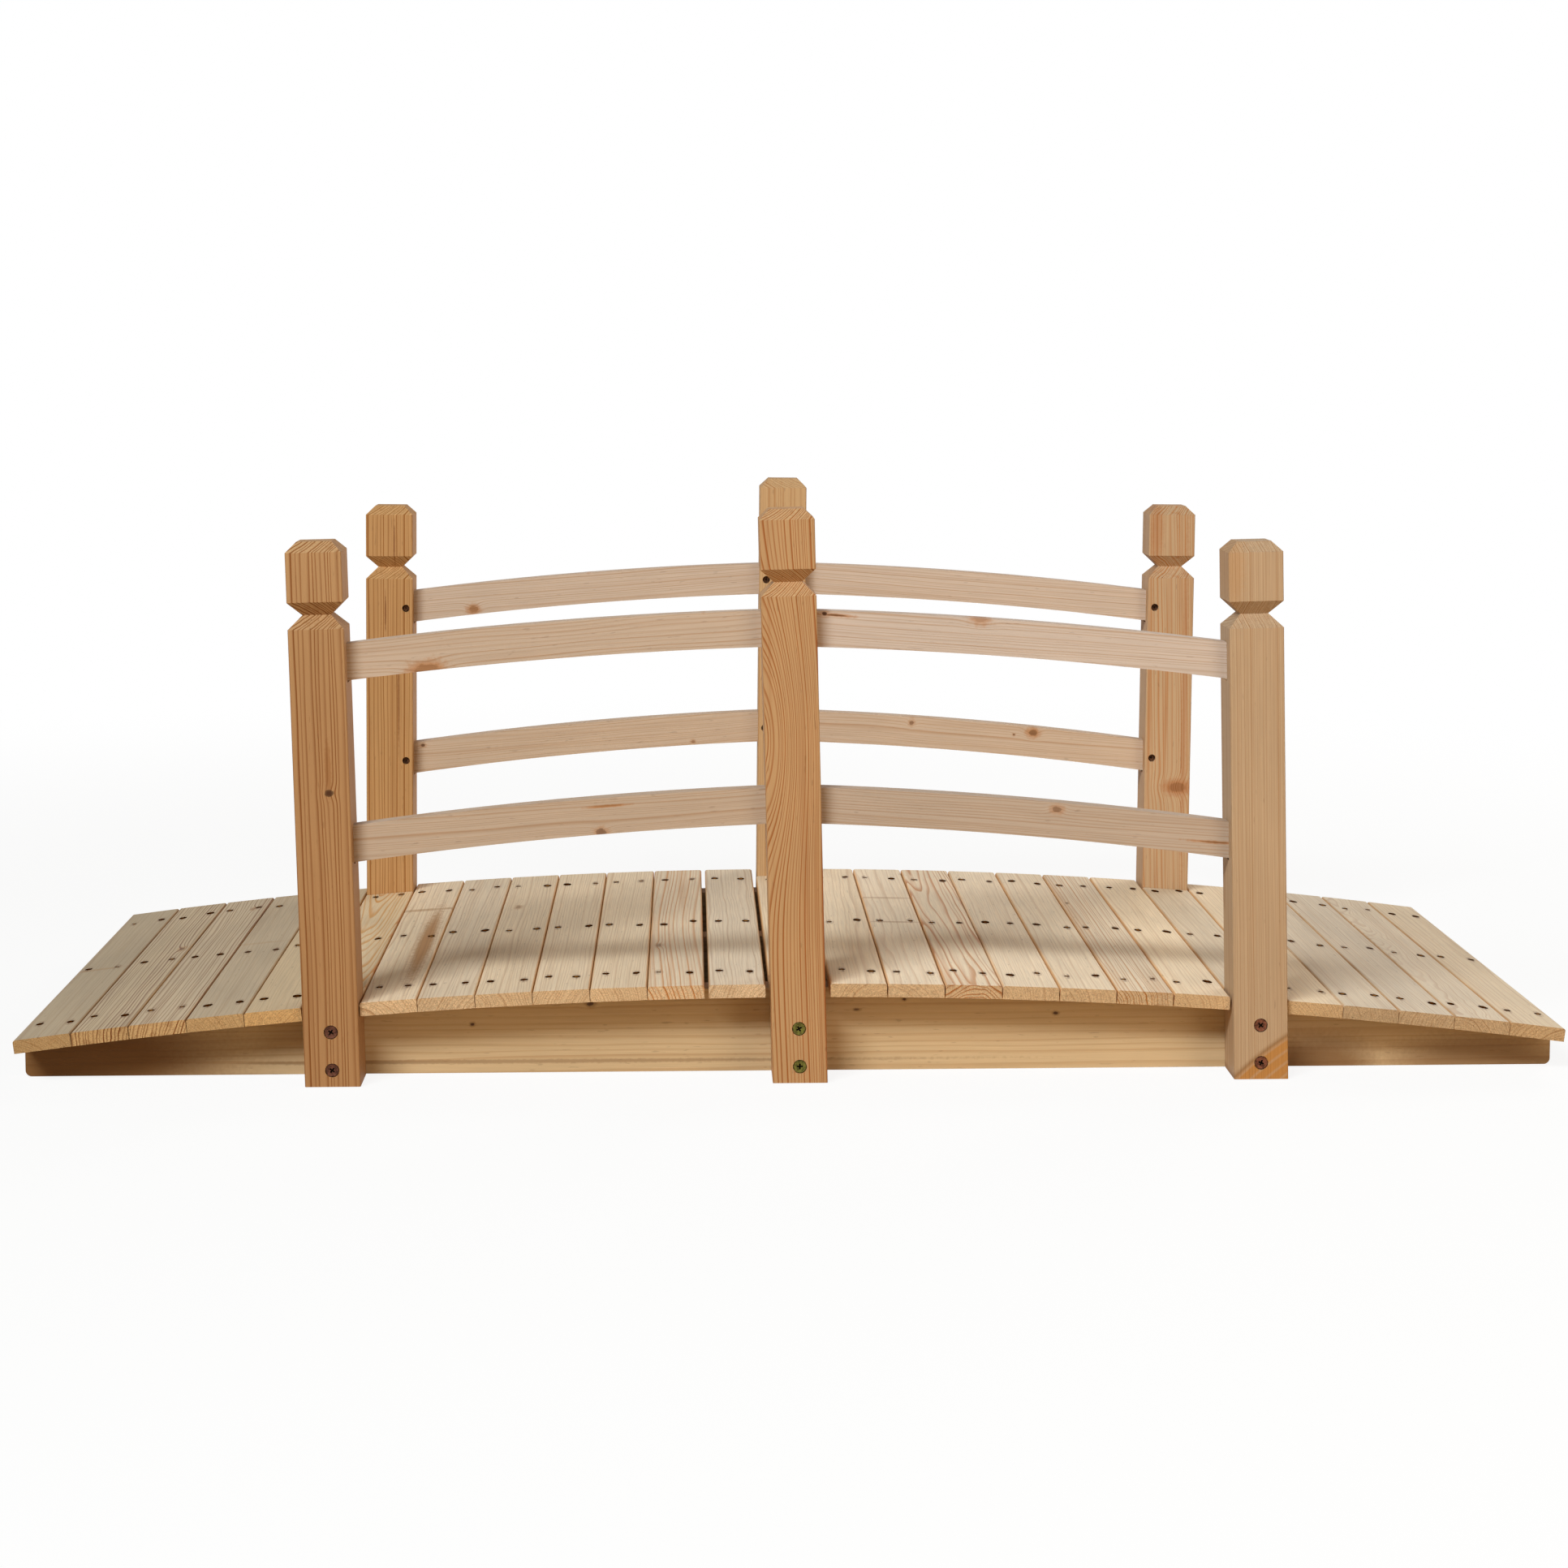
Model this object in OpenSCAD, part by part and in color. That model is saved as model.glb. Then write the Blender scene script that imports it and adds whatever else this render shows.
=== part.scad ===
// Moon bridge: a small arched footbridge of bare fir.
// Three beams with arched tops stand on the ground and carry 27 boards laid across them.
// Six square posts are screwed to the outer beams, and eight arched rails run between the posts.
// X runs along the bridge, Y across it and Z up. The origin is on the ground, under the middle of the deck.

/* [Deck] */
// Boards between an end post and the end of the deck
end_boards = 5; // [2:1:8]
// Boards between an end post and the centre post
bay_boards = 7; // [4:1:10]
// Width of one board, along the bridge
board_w = 54.5; // [54:0.1:70]
// Thickness of one board
board_t = 13; // [9:0.5:20]
// Radius of the long top edges of a board
board_edge_r = 2.5; // [1:0.1:4]
// How far a full board reaches past the outer beams
board_overhang = 46; // [20:1:52]
// Seam between boards that were laid tight
seam = 0.6; // [0.5:0.1:3]
// Gap beside the boards around the centre post, where the laying ran out
wide_gap = 4.2; // [1:0.1:8]
// Room between a board and the arched beams under it
board_seat = 0.05; // [0.02:0.01:0.2]

/* [Beams] */
// Width of the frame over the outer faces of the outer beams
frame_w = 554; // [400:1:800]
// Thickness of one beam
beam_t = 30; // [20:1:50]
// Height of a beam at the crown of the arch
beam_crown_h = 82.5; // [75:0.5:120]
// Radius of the arched top of a beam
arch_r = 5650; // [5200:50:9000]
// How far a beam stops short of the end of the deck
beam_inset = 0.5; // [0:0.5:20]
// Radius of the lower corners at a beam's ends
beam_corner_r = 6; // [2:0.5:10]

/* [Posts] */
// Side of a square post
post_w = 53; // [48:0.5:53.5]
// Height of an end post
end_post_h = 523; // [480:1:620]
// Height of a centre post
centre_post_h = 554; // [500:1:660]
// Radius of the upright edges of a post
post_edge_r = 1.5; // [0.5:0.1:3]
// Size of the bevel around the top of a post
post_bevel = 10; // [6:0.5:14]
// Distance from the top of a post to the middle of its groove
groove_down = 70; // [55:0.5:76]
// Depth of the groove around a post, cut at 45 degrees
groove_depth = 13; // [8:0.5:16]
// Lean of the front railing to the left, in degrees
front_lean = 1.45; // [-2:0.05:2]
// Lean of the back railing to the right, in degrees
back_lean = 0.45; // [-2:0.05:2]

/* [Rails] */
// Height of a rail
rail_h = 35; // [26:0.5:44]
// Thickness of a rail
rail_t = 20; // [14:0.5:26]
// Radius of the arched top of a rail
rail_r = 4000; // [2500:50:8000]
// Distance from the top of a post to the top of the top rail
top_rail_down = 98; // [94:0.5:130]
// Drop from the top rail to the lower rail at an end post
lower_rail_drop_end = 175; // [100:1:200]
// Drop from the top rail to the lower rail at a centre post
lower_rail_drop_centre = 171; // [100:1:200]
// How far the end of a rail enters its post
rail_tenon = 20; // [12:0.5:23]
// Room around a rail in its slot
slot_fit = 0.25; // [0.1:0.05:0.5]
// Extra room under a rail in its slot
slot_under = 2; // [0:0.1:5]

/* [Screw holes] */
// Diameter of the sunk holes for the screws through a post into its beam
post_screw_d = 13.6; // [8:0.1:18]
// Depth of those holes
post_screw_depth = 3; // [1:0.5:8]
// Height of the lower screw above the ground
post_screw_low_z = 16; // [10:0.5:20]
// Height of the upper screw above the lower one
post_screw_gap = 37; // [22:0.5:42]
// Diameter of the sunk holes for the screws that pin the rails
rail_pin_d = 8.4; // [4:0.1:12]
// Depth of those holes
rail_pin_depth = 8; // [3:0.5:10]
// Distance of those holes from the side of the post
rail_pin_inset = 8; // [7:0.5:11]

/* [Hidden] */
// Facets of the long arcs and of the small rounds
arc_fn = 1440;
round_fn = 48;
// Extra length of a cutting shape past the face that it cuts
over = 1;
// Extra length of a leaning post below the ground, where its foot is then cut level
foot_spare = 3;

// Boards are counted from the left end. The short ones stand between two posts.
left_short = end_boards + 1;
centre_short = left_short + bay_boards + 1;
right_short = centre_short + bay_boards + 1;
board_count = right_short + end_boards;

// The right bay shares out the room that the left bay has in its two wide gaps
left_bay_room = 2 * wide_gap + (bay_boards - 1) * seam;
right_bay_seam = (left_bay_room - wide_gap) / bay_boards;

// Lengths along the arch, from the crown
post_arc = (bay_boards + 1) * board_w + left_bay_room;
deck_arc = post_arc + board_w / 2 + end_boards * (board_w + seam);
degrees_per_mm = 180 / PI / arch_r;

full_board_l = frame_w + 2 * board_overhang;
short_board_l = frame_w - 2 * seam;
deck_half = arch_r * sin(deck_arc * degrees_per_mm);
beam_half = deck_half - beam_inset;
beam_y = frame_w / 2 - beam_t / 2;
arch_z = beam_crown_h - arch_r;

post_x = (arch_r + board_t / 2) * sin(post_arc * degrees_per_mm);
post_y = frame_w / 2 + post_w / 2;
// A post leans about its middle at this height, so that it stays clear of the boards beside it
lean_z = beam_crown_h;

// A bay runs between the facing sides of the centre post and an end post
bay_in = post_w / 2;
bay_out = post_x - post_w / 2;

SIDES = ["front", "back"];
PLACES = ["left", "centre", "right"];
BAYS = ["left", "right"];
LEVELS = ["top", "lower"];
BEAMS = ["front", "middle", "back"];

function beam_name(beam) = str(beam, "_beam");
function post_name(side, place) = str(side, "_", place, "_post");
function rail_name(side, bay, level) = str(side, "_", bay, "_", level, "_rail");
function board_name(i) = str("deck_board_", i < 10 ? "0" : "", i);

// Front is towards -Y and left is towards -X
function across(side) = side == "front" ? -1 : side == "back" ? 1 : 0;
function along(place) = place == "left" ? -1 : place == "right" ? 1 : 0;

function post_h(place) = place == "centre" ? centre_post_h : end_post_h;

// Lean of a railing towards +X
function lean(side) = side == "front" ? -front_lean : back_lean;

// Place of a board along the arch, measured from the crown to its middle
function board_arc(i) =
    i < left_short ? -post_arc - (left_short - i) * (board_w + seam)
    : i > right_short ? post_arc + (i - right_short) * (board_w + seam)
    : i == left_short ? -post_arc
    : i == centre_short - 1 ? -board_w - wide_gap
    : i < centre_short ? -post_arc + (i - left_short) * (board_w + seam)
    : i == right_short ? post_arc
    : i == centre_short ? 0
    : post_arc - (right_short - i) * (board_w + right_bay_seam);

function is_short(i) = i == left_short || i == centre_short || i == right_short;

// Top edge of a rail where it meets the centre post and the end post, in the right bay
function rail_in(level) =
    [bay_in, centre_post_h - top_rail_down - (level == "lower" ? lower_rail_drop_centre : 0)];
function rail_out(level) =
    [bay_out, end_post_h - top_rail_down - (level == "lower" ? lower_rail_drop_end : 0)];

// Centre of the arc through those two points
function rail_centre(level) =
    let (
        inner = rail_in(level),
        chord = rail_out(level) - inner,
        half = norm(chord) / 2,
        up = [-chord[1], chord[0]] / norm(chord)
    )
    inner + chord / 2 - up * sqrt(rail_r * rail_r - half * half);

// Height of the middle of a rail at a place along the right bay
function rail_mid_z(level, x) =
    let (
        centre = rail_centre(level),
        r = rail_r - rail_h / 2,
        dx = x - centre[0]
    )
    centre[1] + sqrt(r * r - dx * dx);

// How far the lean of a railing carries a rail along the bridge
function rail_shift(side, level) =
    let (mean_z = (rail_in(level)[1] + rail_out(level)[1] - rail_h) / 2)
    tan(lean(side)) * (mean_z - lean_z);

// Puts what is drawn for the right bay into the left or the right one
module in_bay(bay) {
    mirror([bay == "left" ? 1 : 0, 0, 0]) children();
}

// Cylinder that lies across the bridge
module lying_cylinder(r, length, fn) {
    rotate([90, 0, 0]) cylinder(r = r, h = length, center = true, $fn = fn);
}

// A rail of the right bay, in the middle plane of its posts, with the given room around it
module rail_shape(level, room = 0, under = 0) {
    centre = rail_centre(level);
    from_x = bay_in - rail_tenon - room;
    to_x = bay_out + rail_tenon + room;
    width = rail_t + 2 * room;
    intersection() {
        translate([centre[0], 0, centre[1]]) difference() {
            lying_cylinder(rail_r + room, width, arc_fn);
            lying_cylinder(rail_r - rail_h - room - under, width + 2 * over, arc_fn);
        }
        translate([from_x, -width, 0]) cube([to_x - from_x, 2 * width, centre_post_h]);
    }
}

module rail(side, bay, level) {
    color("burlywood") translate([rail_shift(side, level), across(side) * post_y, 0])
        in_bay(bay) rail_shape(level);
}

// Bar of diamond section whose lower half cuts a V of the given depth
module v_bar(depth) {
    rotate([45, 0, 0]) cube([post_w + 2 * over, depth * sqrt(2), depth * sqrt(2)], center = true);
}

// Square with rounded corners
module post_section() {
    inner = post_w - 2 * post_edge_r;
    square([post_w, inner], center = true);
    square([inner, post_w], center = true);
    for (x = [-1, 1], y = [-1, 1])
        translate([x, y] * inner / 2) circle(post_edge_r, $fn = round_fn);
}

// A post before its slots and holes, standing at the origin
module post_blank(h) {
    difference() {
        translate([0, 0, -foot_spare]) linear_extrude(h + foot_spare) post_section();
        for (turn = [0 : 90 : 270]) rotate([0, 0, turn]) translate([0, post_w / 2, 0]) {
            translate([0, 0, h]) v_bar(post_bevel);
            translate([0, 0, h - groove_down]) v_bar(groove_depth);
        }
    }
}

// Holes for the two screws from the outer face of a post, at the origin
module post_screw_holes(side) {
    for (z = [post_screw_low_z, post_screw_low_z + post_screw_gap])
        translate([0, across(side) * post_w / 2, z])
            lying_cylinder(post_screw_d / 2, 2 * post_screw_depth, round_fn);
}

// Slots for the rails of one bay, with the pin holes in the posts' inner faces
module bay_cuts(side, bay) {
    for (level = LEVELS) translate([rail_shift(side, level), 0, 0]) in_bay(bay) {
        translate([0, across(side) * post_y, 0]) rail_shape(level, slot_fit, slot_under);
        for (x = [bay_in - rail_pin_inset, bay_out + rail_pin_inset])
            translate([x, across(side) * frame_w / 2, rail_mid_z(level, x)])
                lying_cylinder(rail_pin_d / 2, 2 * rail_pin_depth, round_fn);
    }
}

// Turns a post at the origin to the lean of its railing
module leaning(side) {
    translate([0, 0, lean_z]) rotate([0, lean(side), 0]) translate([0, 0, -lean_z]) children();
}

module post(side, place) {
    color("peru") difference() {
        translate([along(place) * post_x, across(side) * post_y, 0]) difference() {
            leaning(side) difference() {
                post_blank(post_h(place));
                post_screw_holes(side);
            }
            translate([0, 0, -post_w]) cube(2 * post_w, center = true);
        }
        for (bay = BAYS)
            if (place == bay || place == "centre") bay_cuts(side, bay);
    }
}

// Cuts the lower corner at the right end of a beam to a radius
module beam_corner() {
    translate([beam_half - beam_corner_r, 0, beam_corner_r]) difference() {
        translate([0, -beam_t, -beam_corner_r - over])
            cube([beam_corner_r + over, 2 * beam_t, beam_corner_r + over]);
        lying_cylinder(beam_corner_r, 2 * beam_t + 2 * over, round_fn);
    }
}

module beam(place) {
    color("khaki") translate([0, across(place) * beam_y, 0]) difference() {
        intersection() {
            translate([0, 0, arch_z]) lying_cylinder(arch_r, beam_t, arc_fn);
            translate([-beam_half, -beam_t, 0]) cube([2 * beam_half, 2 * beam_t, 2 * beam_crown_h]);
        }
        for (bay = BAYS) in_bay(bay) beam_corner();
    }
}

// Section of a board, with its long top edges rounded
module board_section() {
    inner = board_w - 2 * board_edge_r;
    translate([-board_w / 2, 0]) square([board_w, board_t - board_edge_r]);
    translate([-inner / 2, 0]) square([inner, board_t]);
    for (x = [-1, 1])
        translate([x * inner / 2, board_t - board_edge_r]) circle(board_edge_r, $fn = round_fn);
}

module deck_board(i) {
    length = is_short(i) ? short_board_l : full_board_l;
    color("tan") translate([0, 0, arch_z])
        rotate([0, board_arc(i) * degrees_per_mm, 0])
            translate([0, 0, arch_r + board_seat])
                rotate([90, 0, 0]) linear_extrude(length, center = true) board_section();
}

for (place = BEAMS)
    beam(place);
for (side = SIDES, place = PLACES)
    post(side, place);
for (side = SIDES, bay = BAYS, level = LEVELS)
    rail(side, bay, level);
for (i = [1 : board_count])
    deck_board(i);
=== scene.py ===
"""Moon bridge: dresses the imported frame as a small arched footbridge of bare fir.

The beams, posts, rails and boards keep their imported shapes. Each gets a finish whose growth rings run
through the whole piece, so that its faces, slopes and ends all cut one and the same figure. The screws
in the posts, the pins that hold the rails and the nails in the boards are modelled here.
"""

from __future__ import annotations

import logging
import math
import random
from collections.abc import Callable, Sequence
from dataclasses import dataclass, field, replace
from enum import Enum

import bmesh
import bpy
from mathutils import Euler, Matrix, Vector

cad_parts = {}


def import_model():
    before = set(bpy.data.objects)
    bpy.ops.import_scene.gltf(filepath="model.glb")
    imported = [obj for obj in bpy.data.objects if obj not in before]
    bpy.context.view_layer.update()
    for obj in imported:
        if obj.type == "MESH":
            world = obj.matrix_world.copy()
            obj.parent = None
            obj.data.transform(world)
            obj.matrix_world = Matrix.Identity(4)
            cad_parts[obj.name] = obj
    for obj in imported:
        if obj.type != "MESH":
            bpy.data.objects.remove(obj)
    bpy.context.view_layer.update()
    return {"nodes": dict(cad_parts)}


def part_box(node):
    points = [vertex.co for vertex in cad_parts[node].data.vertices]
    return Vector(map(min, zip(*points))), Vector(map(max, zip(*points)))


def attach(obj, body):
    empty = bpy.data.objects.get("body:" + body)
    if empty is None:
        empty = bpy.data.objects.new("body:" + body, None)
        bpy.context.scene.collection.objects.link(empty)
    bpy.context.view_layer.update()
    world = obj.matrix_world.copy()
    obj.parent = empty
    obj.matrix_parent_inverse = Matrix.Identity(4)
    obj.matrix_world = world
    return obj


LOG = logging.getLogger("moon_bridge")
MM = 0.001
BODY = "root"

Colour = tuple[float, float, float]
Point = tuple[float, float, float]
Range = tuple[float, float]
Socket = bpy.types.NodeSocket
Feed = Socket | float | Sequence[float]
Placed = tuple[bpy.types.Object, Matrix]

WHITE: Colour = (1.0, 1.0, 1.0)


def paint(red: int, green: int, blue: int) -> Colour:
    """Turns a colour as seen on screen, 0 to 255, into the light that a surface sends back.

    Args:
        red: Red part.
        green: Green part.
        blue: Blue part.

    Returns:
        The same colour as three linear values.
    """

    def linear(part: int) -> float:
        """Gives the linear value of one part."""
        share = part / 255
        return share / 12.92 if share <= 0.04045 else ((share + 0.055) / 1.055) ** 2.4

    return linear(red), linear(green), linear(blue)


class Grain(Enum):
    """Which way the fibres of a piece run, as the turn that lays a local Z axis along them."""

    UP = (0.0, 0.0, 0.0)
    ACROSS = (-math.pi / 2, 0.0, 0.0)
    ALONG = (0.0, math.pi / 2, 0.0)


class Side(Enum):
    """The two railings, as their direction along Y."""

    FRONT = -1
    BACK = 1


class Place(Enum):
    """The three posts of a railing, as their direction along X."""

    LEFT = -1
    CENTRE = 0
    RIGHT = 1


class Level(Enum):
    """The two rails of a bay."""

    TOP = "top"
    LOWER = "lower"


@dataclass(frozen=True)
class Cut:
    """How a piece was sawn out of the log, in millimetres, with local Z along its fibres.

    Attributes:
        pith: Where the middle of the log lies from the middle of the piece.
        ring: Width of one growth ring.
        waver: How far the rings sway.
        sway: Length of one sway along the fibres.
        slope: How far the rings drift sideways for each unit of length.
        seed: Picks the pattern.
    """

    pith: tuple[float, float]
    ring: float
    waver: float = 2.0
    sway: float = 260.0
    slope: tuple[float, float] = (0.0, 0.0)
    seed: float = 0.0


@dataclass(frozen=True)
class Tone:
    """The colours of one kind of fir and how strongly its marks show.

    Attributes:
        early: Pale wood of a ring.
        late: Dark wood of a ring.
        resin: Orange or brown wood around knots and in stains, and the colour of patches of painted
            shade.
        end: Tint of end grain, which multiplies the colour.
        edge: Tint of sawn edges, which multiplies the colour.
        rings: Strength of the rings.
        fibre: Strength of the fine fibres.
        streak: Strength of the long orange streaks.
        blotch: Strength of the broad light and dark patches.
        end_rings: Strength of the rings on end grain, over that on faces.
        gloss: How much light the smooth fibres mirror.
    """

    early: Colour
    late: Colour
    resin: Colour = paint(176, 116, 62)
    end: Colour = (0.86, 0.76, 0.64)
    edge: Colour = WHITE
    rings: float = 0.5
    fibre: float = 0.16
    streak: float = 0.15
    blotch: float = 0.16
    end_rings: float = 1.7
    gloss: float = 0.2

    def lit(self, gain: float, warm: float = 0.0) -> Tone:
        """Gives a lighter or darker, warmer or greyer copy.

        Args:
            gain: Factor on the brightness.
            warm: Share by which red grows. Blue falls by twice as much.

        Returns:
            The changed tone.
        """
        shift = (gain * (1 + warm), gain, gain * (1 - 2 * warm))

        def changed(colour: Colour) -> Colour:
            """Applies the shift to one colour."""
            return tuple(part * factor for part, factor in zip(colour, shift))

        return replace(self, early=changed(self.early), late=changed(self.late))


@dataclass(frozen=True)
class Knot:
    """A knot, stain or swirl in the grain, or a patch of painted shade, placed in the frame in
    millimetres.

    Attributes:
        at: Its middle.
        radius: Its radius across the fibres.
        stretch: Its length over its width.
        core: Strength of the dark wood in it.
        halo: Strength of the orange wood around it; in a patch of painted shade, the strength of that
            shade.
        push: How far it pushes the rings aside, in radii.
        fade: How far the orange wood takes to fade out, in radii.
        layers: Strength of the pale layers that run around it through the orange wood.
    """

    at: Point
    radius: float
    stretch: float = 1.3
    core: float = 1.0
    halo: float = 0.5
    push: float = 1.4
    fade: float = 2.0
    layers: float = 0.0

    @classmethod
    def stain(cls, at: Point, radius: float, stretch: float, halo: float, **more: float) -> Knot:
        """Gives orange wood alone, with no dark core and no swirl, for a stain or for a patch of painted
        shade.
        """
        return cls(at, radius, stretch, core=0.0, halo=halo, push=0.0, **more)

    @classmethod
    def swirl(cls, at: Point, radius: float, stretch: float, push: float) -> Knot:
        """Gives rings that are pushed aside, with no mark in the middle."""
        return cls(at, radius, stretch, core=0.0, halo=0.0, push=push)


@dataclass(frozen=True)
class Wood:
    """The finish of one piece of fir: how it was sawn, its colours and its knots."""

    cut: Cut
    tone: Tone
    knots: tuple[Knot, ...] = ()


@dataclass(frozen=True)
class Metal:
    """The finish of a fastener.

    Attributes:
        plate: Colour of the clean plating.
        grime: Colour of what lies on it.
        amount: How much lies on it.
        shine: How metallic it is.
    """

    plate: Colour
    grime: Colour
    amount: float
    shine: float = 0.0


@dataclass(frozen=True)
class Lie:
    """Where a piece lies: its middle, its turn and the direction in which knots run through it."""

    middle: Vector
    turn: Euler
    through: Vector

    @classmethod
    def of(cls, node: str, grain: Grain, lean: float) -> Lie:
        """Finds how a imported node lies.

        Args:
            node: Name of the node.
            grain: Which way its fibres run.
            lean: Its further turn about Y, in radians.

        Returns:
            Its lie.
        """
        low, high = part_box(node)
        about_x, about_y, about_z = grain.value
        through = Vector((0, 0, 1)) if grain is Grain.ACROSS else Vector((0, 1, 0))
        return cls((low + high) / 2, Euler((about_x, about_y + lean, about_z)), through)

    @property
    def along(self) -> Vector:
        """The direction of the fibres."""
        return self.turn.to_matrix() @ Vector((0, 0, 1))

    @property
    def side(self) -> Vector:
        """The direction across the fibres, in the plane of the broad face."""
        return self.turn.to_matrix() @ Vector((1, 0, 0))

    def local(self, point: Vector) -> Vector:
        """Carries a point of the frame, in metres, into the piece's own axes."""
        return self.local_direction(point - self.middle)

    def local_direction(self, direction: Vector) -> Vector:
        """Carries a direction of the frame into the piece's own axes."""
        return self.turn.to_matrix().transposed() @ direction


class NodeSheet:
    """A node tree that is filled by short calls. Most give back the socket to carry on from."""

    def __init__(self, tree: bpy.types.NodeTree) -> None:
        """Takes the tree to fill."""
        self.tree = tree

    def feed(self, target: Socket, source: Feed) -> None:
        """Links a socket, or sets its own value.

        Args:
            target: Input to feed.
            source: Another socket, a number or a row of numbers.
        """
        if isinstance(source, bpy.types.NodeSocket):
            self.tree.links.new(source, target)
        elif target.type == "RGBA" and len(source) == 3:
            target.default_value = (*source, 1.0)
        else:
            target.default_value = source

    def add(self, kind: str, *values: Feed, **settings: object) -> bpy.types.Node:
        """Adds a node and feeds its first inputs.

        Args:
            kind: Node type without its ShaderNode prefix.
            *values: What feeds its inputs, in order.
            **settings: Properties to set on it.

        Returns:
            The node.
        """
        node = self.tree.nodes.new("ShaderNode" + kind)
        for name, value in settings.items():
            setattr(node, name, value)
        for target, value in zip(node.inputs, values):
            self.feed(target, value)
        return node

    def math(self, operation: str, *values: Feed) -> Socket:
        """Adds a Math node with its inputs in order."""
        return self.add("Math", *values, operation=operation).outputs[0]

    def times(self, first: Feed, second: Feed) -> Socket:
        """Multiplies two values."""
        return self.math("MULTIPLY", first, second)

    def less(self, first: Feed, second: Feed) -> Socket:
        """Takes the second value from the first."""
        return self.math("SUBTRACT", first, second)

    def line(self, value: Feed, slope: Feed, start: Feed) -> Socket:
        """Multiplies a value by a slope and adds a start."""
        return self.math("MULTIPLY_ADD", value, slope, start)

    def combine(self, *parts: Feed) -> Socket:
        """Puts three values together into a vector."""
        return self.add("CombineXYZ", *parts).outputs[0]

    def vector(self, operation: str, *values: Feed) -> Socket:
        """Adds a Vector Math node.

        Args:
            operation: Its operation.
            *values: Its inputs in order. The last one of SCALE is its factor.

        Returns:
            Its vector, or its value for LENGTH and DOT_PRODUCT.
        """
        node = self.add("VectorMath", operation=operation)
        targets = [node.inputs[0], node.inputs["Scale"]] if operation == "SCALE" else node.inputs
        for target, value in zip(targets, values):
            self.feed(target, value)
        return node.outputs[1 if operation in ("LENGTH", "DOT_PRODUCT") else 0]

    def noise(self, place: Feed, detail: float = 2.0, colour: bool = False) -> Socket:
        """Adds 3-D noise of unit size.

        Args:
            place: Where to read it.
            detail: Number of finer layers.
            colour: Whether three values are wanted.

        Returns:
            The noise, about 0.5 in the middle.
        """
        node = self.add("TexNoise", place, noise_dimensions="3D")
        node.inputs["Scale"].default_value = 1.0
        node.inputs["Detail"].default_value = detail
        return node.outputs[1 if colour else 0]

    def rise(self, value: Feed, low: Feed, high: Feed, top: Feed = 1.0) -> Socket:
        """Adds a smooth step that is 0 where a value is at low and rises to top where it is at high."""
        step = self.add("MapRange", value, low, high, 0.0, top, interpolation_type="SMOOTHSTEP")
        return step.outputs[0]

    def mix(self, share: Feed, first: Feed, second: Feed, blend: str = "MIX") -> Socket:
        """Adds a colour mix.

        Args:
            share: How much of the second colour shows.
            first: First colour.
            second: Second colour.
            blend: How they meet.

        Returns:
            The mixed colour.
        """
        node = self.add("Mix", data_type="RGBA", blend_type=blend)
        for index, source in ((0, share), (6, first), (7, second)):
            self.feed(node.inputs[index], source)
        return node.outputs[2]


class SharedGroup:
    """A shader node group that several materials place with their own values."""

    KINDS = {"f": "NodeSocketFloat", "v": "NodeSocketVector", "c": "NodeSocketColor"}

    def __init__(self, name: str, takes: dict[str, str], gives: dict[str, str]) -> None:
        """Makes the group and its sockets.

        Args:
            name: Name of the group.
            takes: Inputs by name, each with the letter of its kind.
            gives: Outputs by name, each with the letter of its kind.
        """
        self.tree = bpy.data.node_groups.new(name, "ShaderNodeTree")
        for direction, sockets in (("INPUT", takes), ("OUTPUT", gives)):
            for label, kind in sockets.items():
                self.tree.interface.new_socket(label, in_out=direction, socket_type=self.KINDS[kind])
        self.sheet = NodeSheet(self.tree)
        self.taken = self.tree.nodes.new("NodeGroupInput").outputs
        self.given = self.tree.nodes.new("NodeGroupOutput").inputs

    def give(self, **results: Feed) -> None:
        """Feeds the group's outputs by name."""
        for name, result in results.items():
            self.sheet.feed(self.given[name], result)

    def place(self, sheet: NodeSheet, **values: Feed) -> bpy.types.bpy_prop_collection:
        """Places the group in a material.

        Args:
            sheet: The material's nodes.
            **values: What feeds each input, by its name with _ for a space.

        Returns:
            The outputs.
        """
        node = sheet.add("Group", node_tree=self.tree)
        for name, value in values.items():
            sheet.feed(node.inputs[name.replace("_", " ")], value)
        return node.outputs


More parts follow.
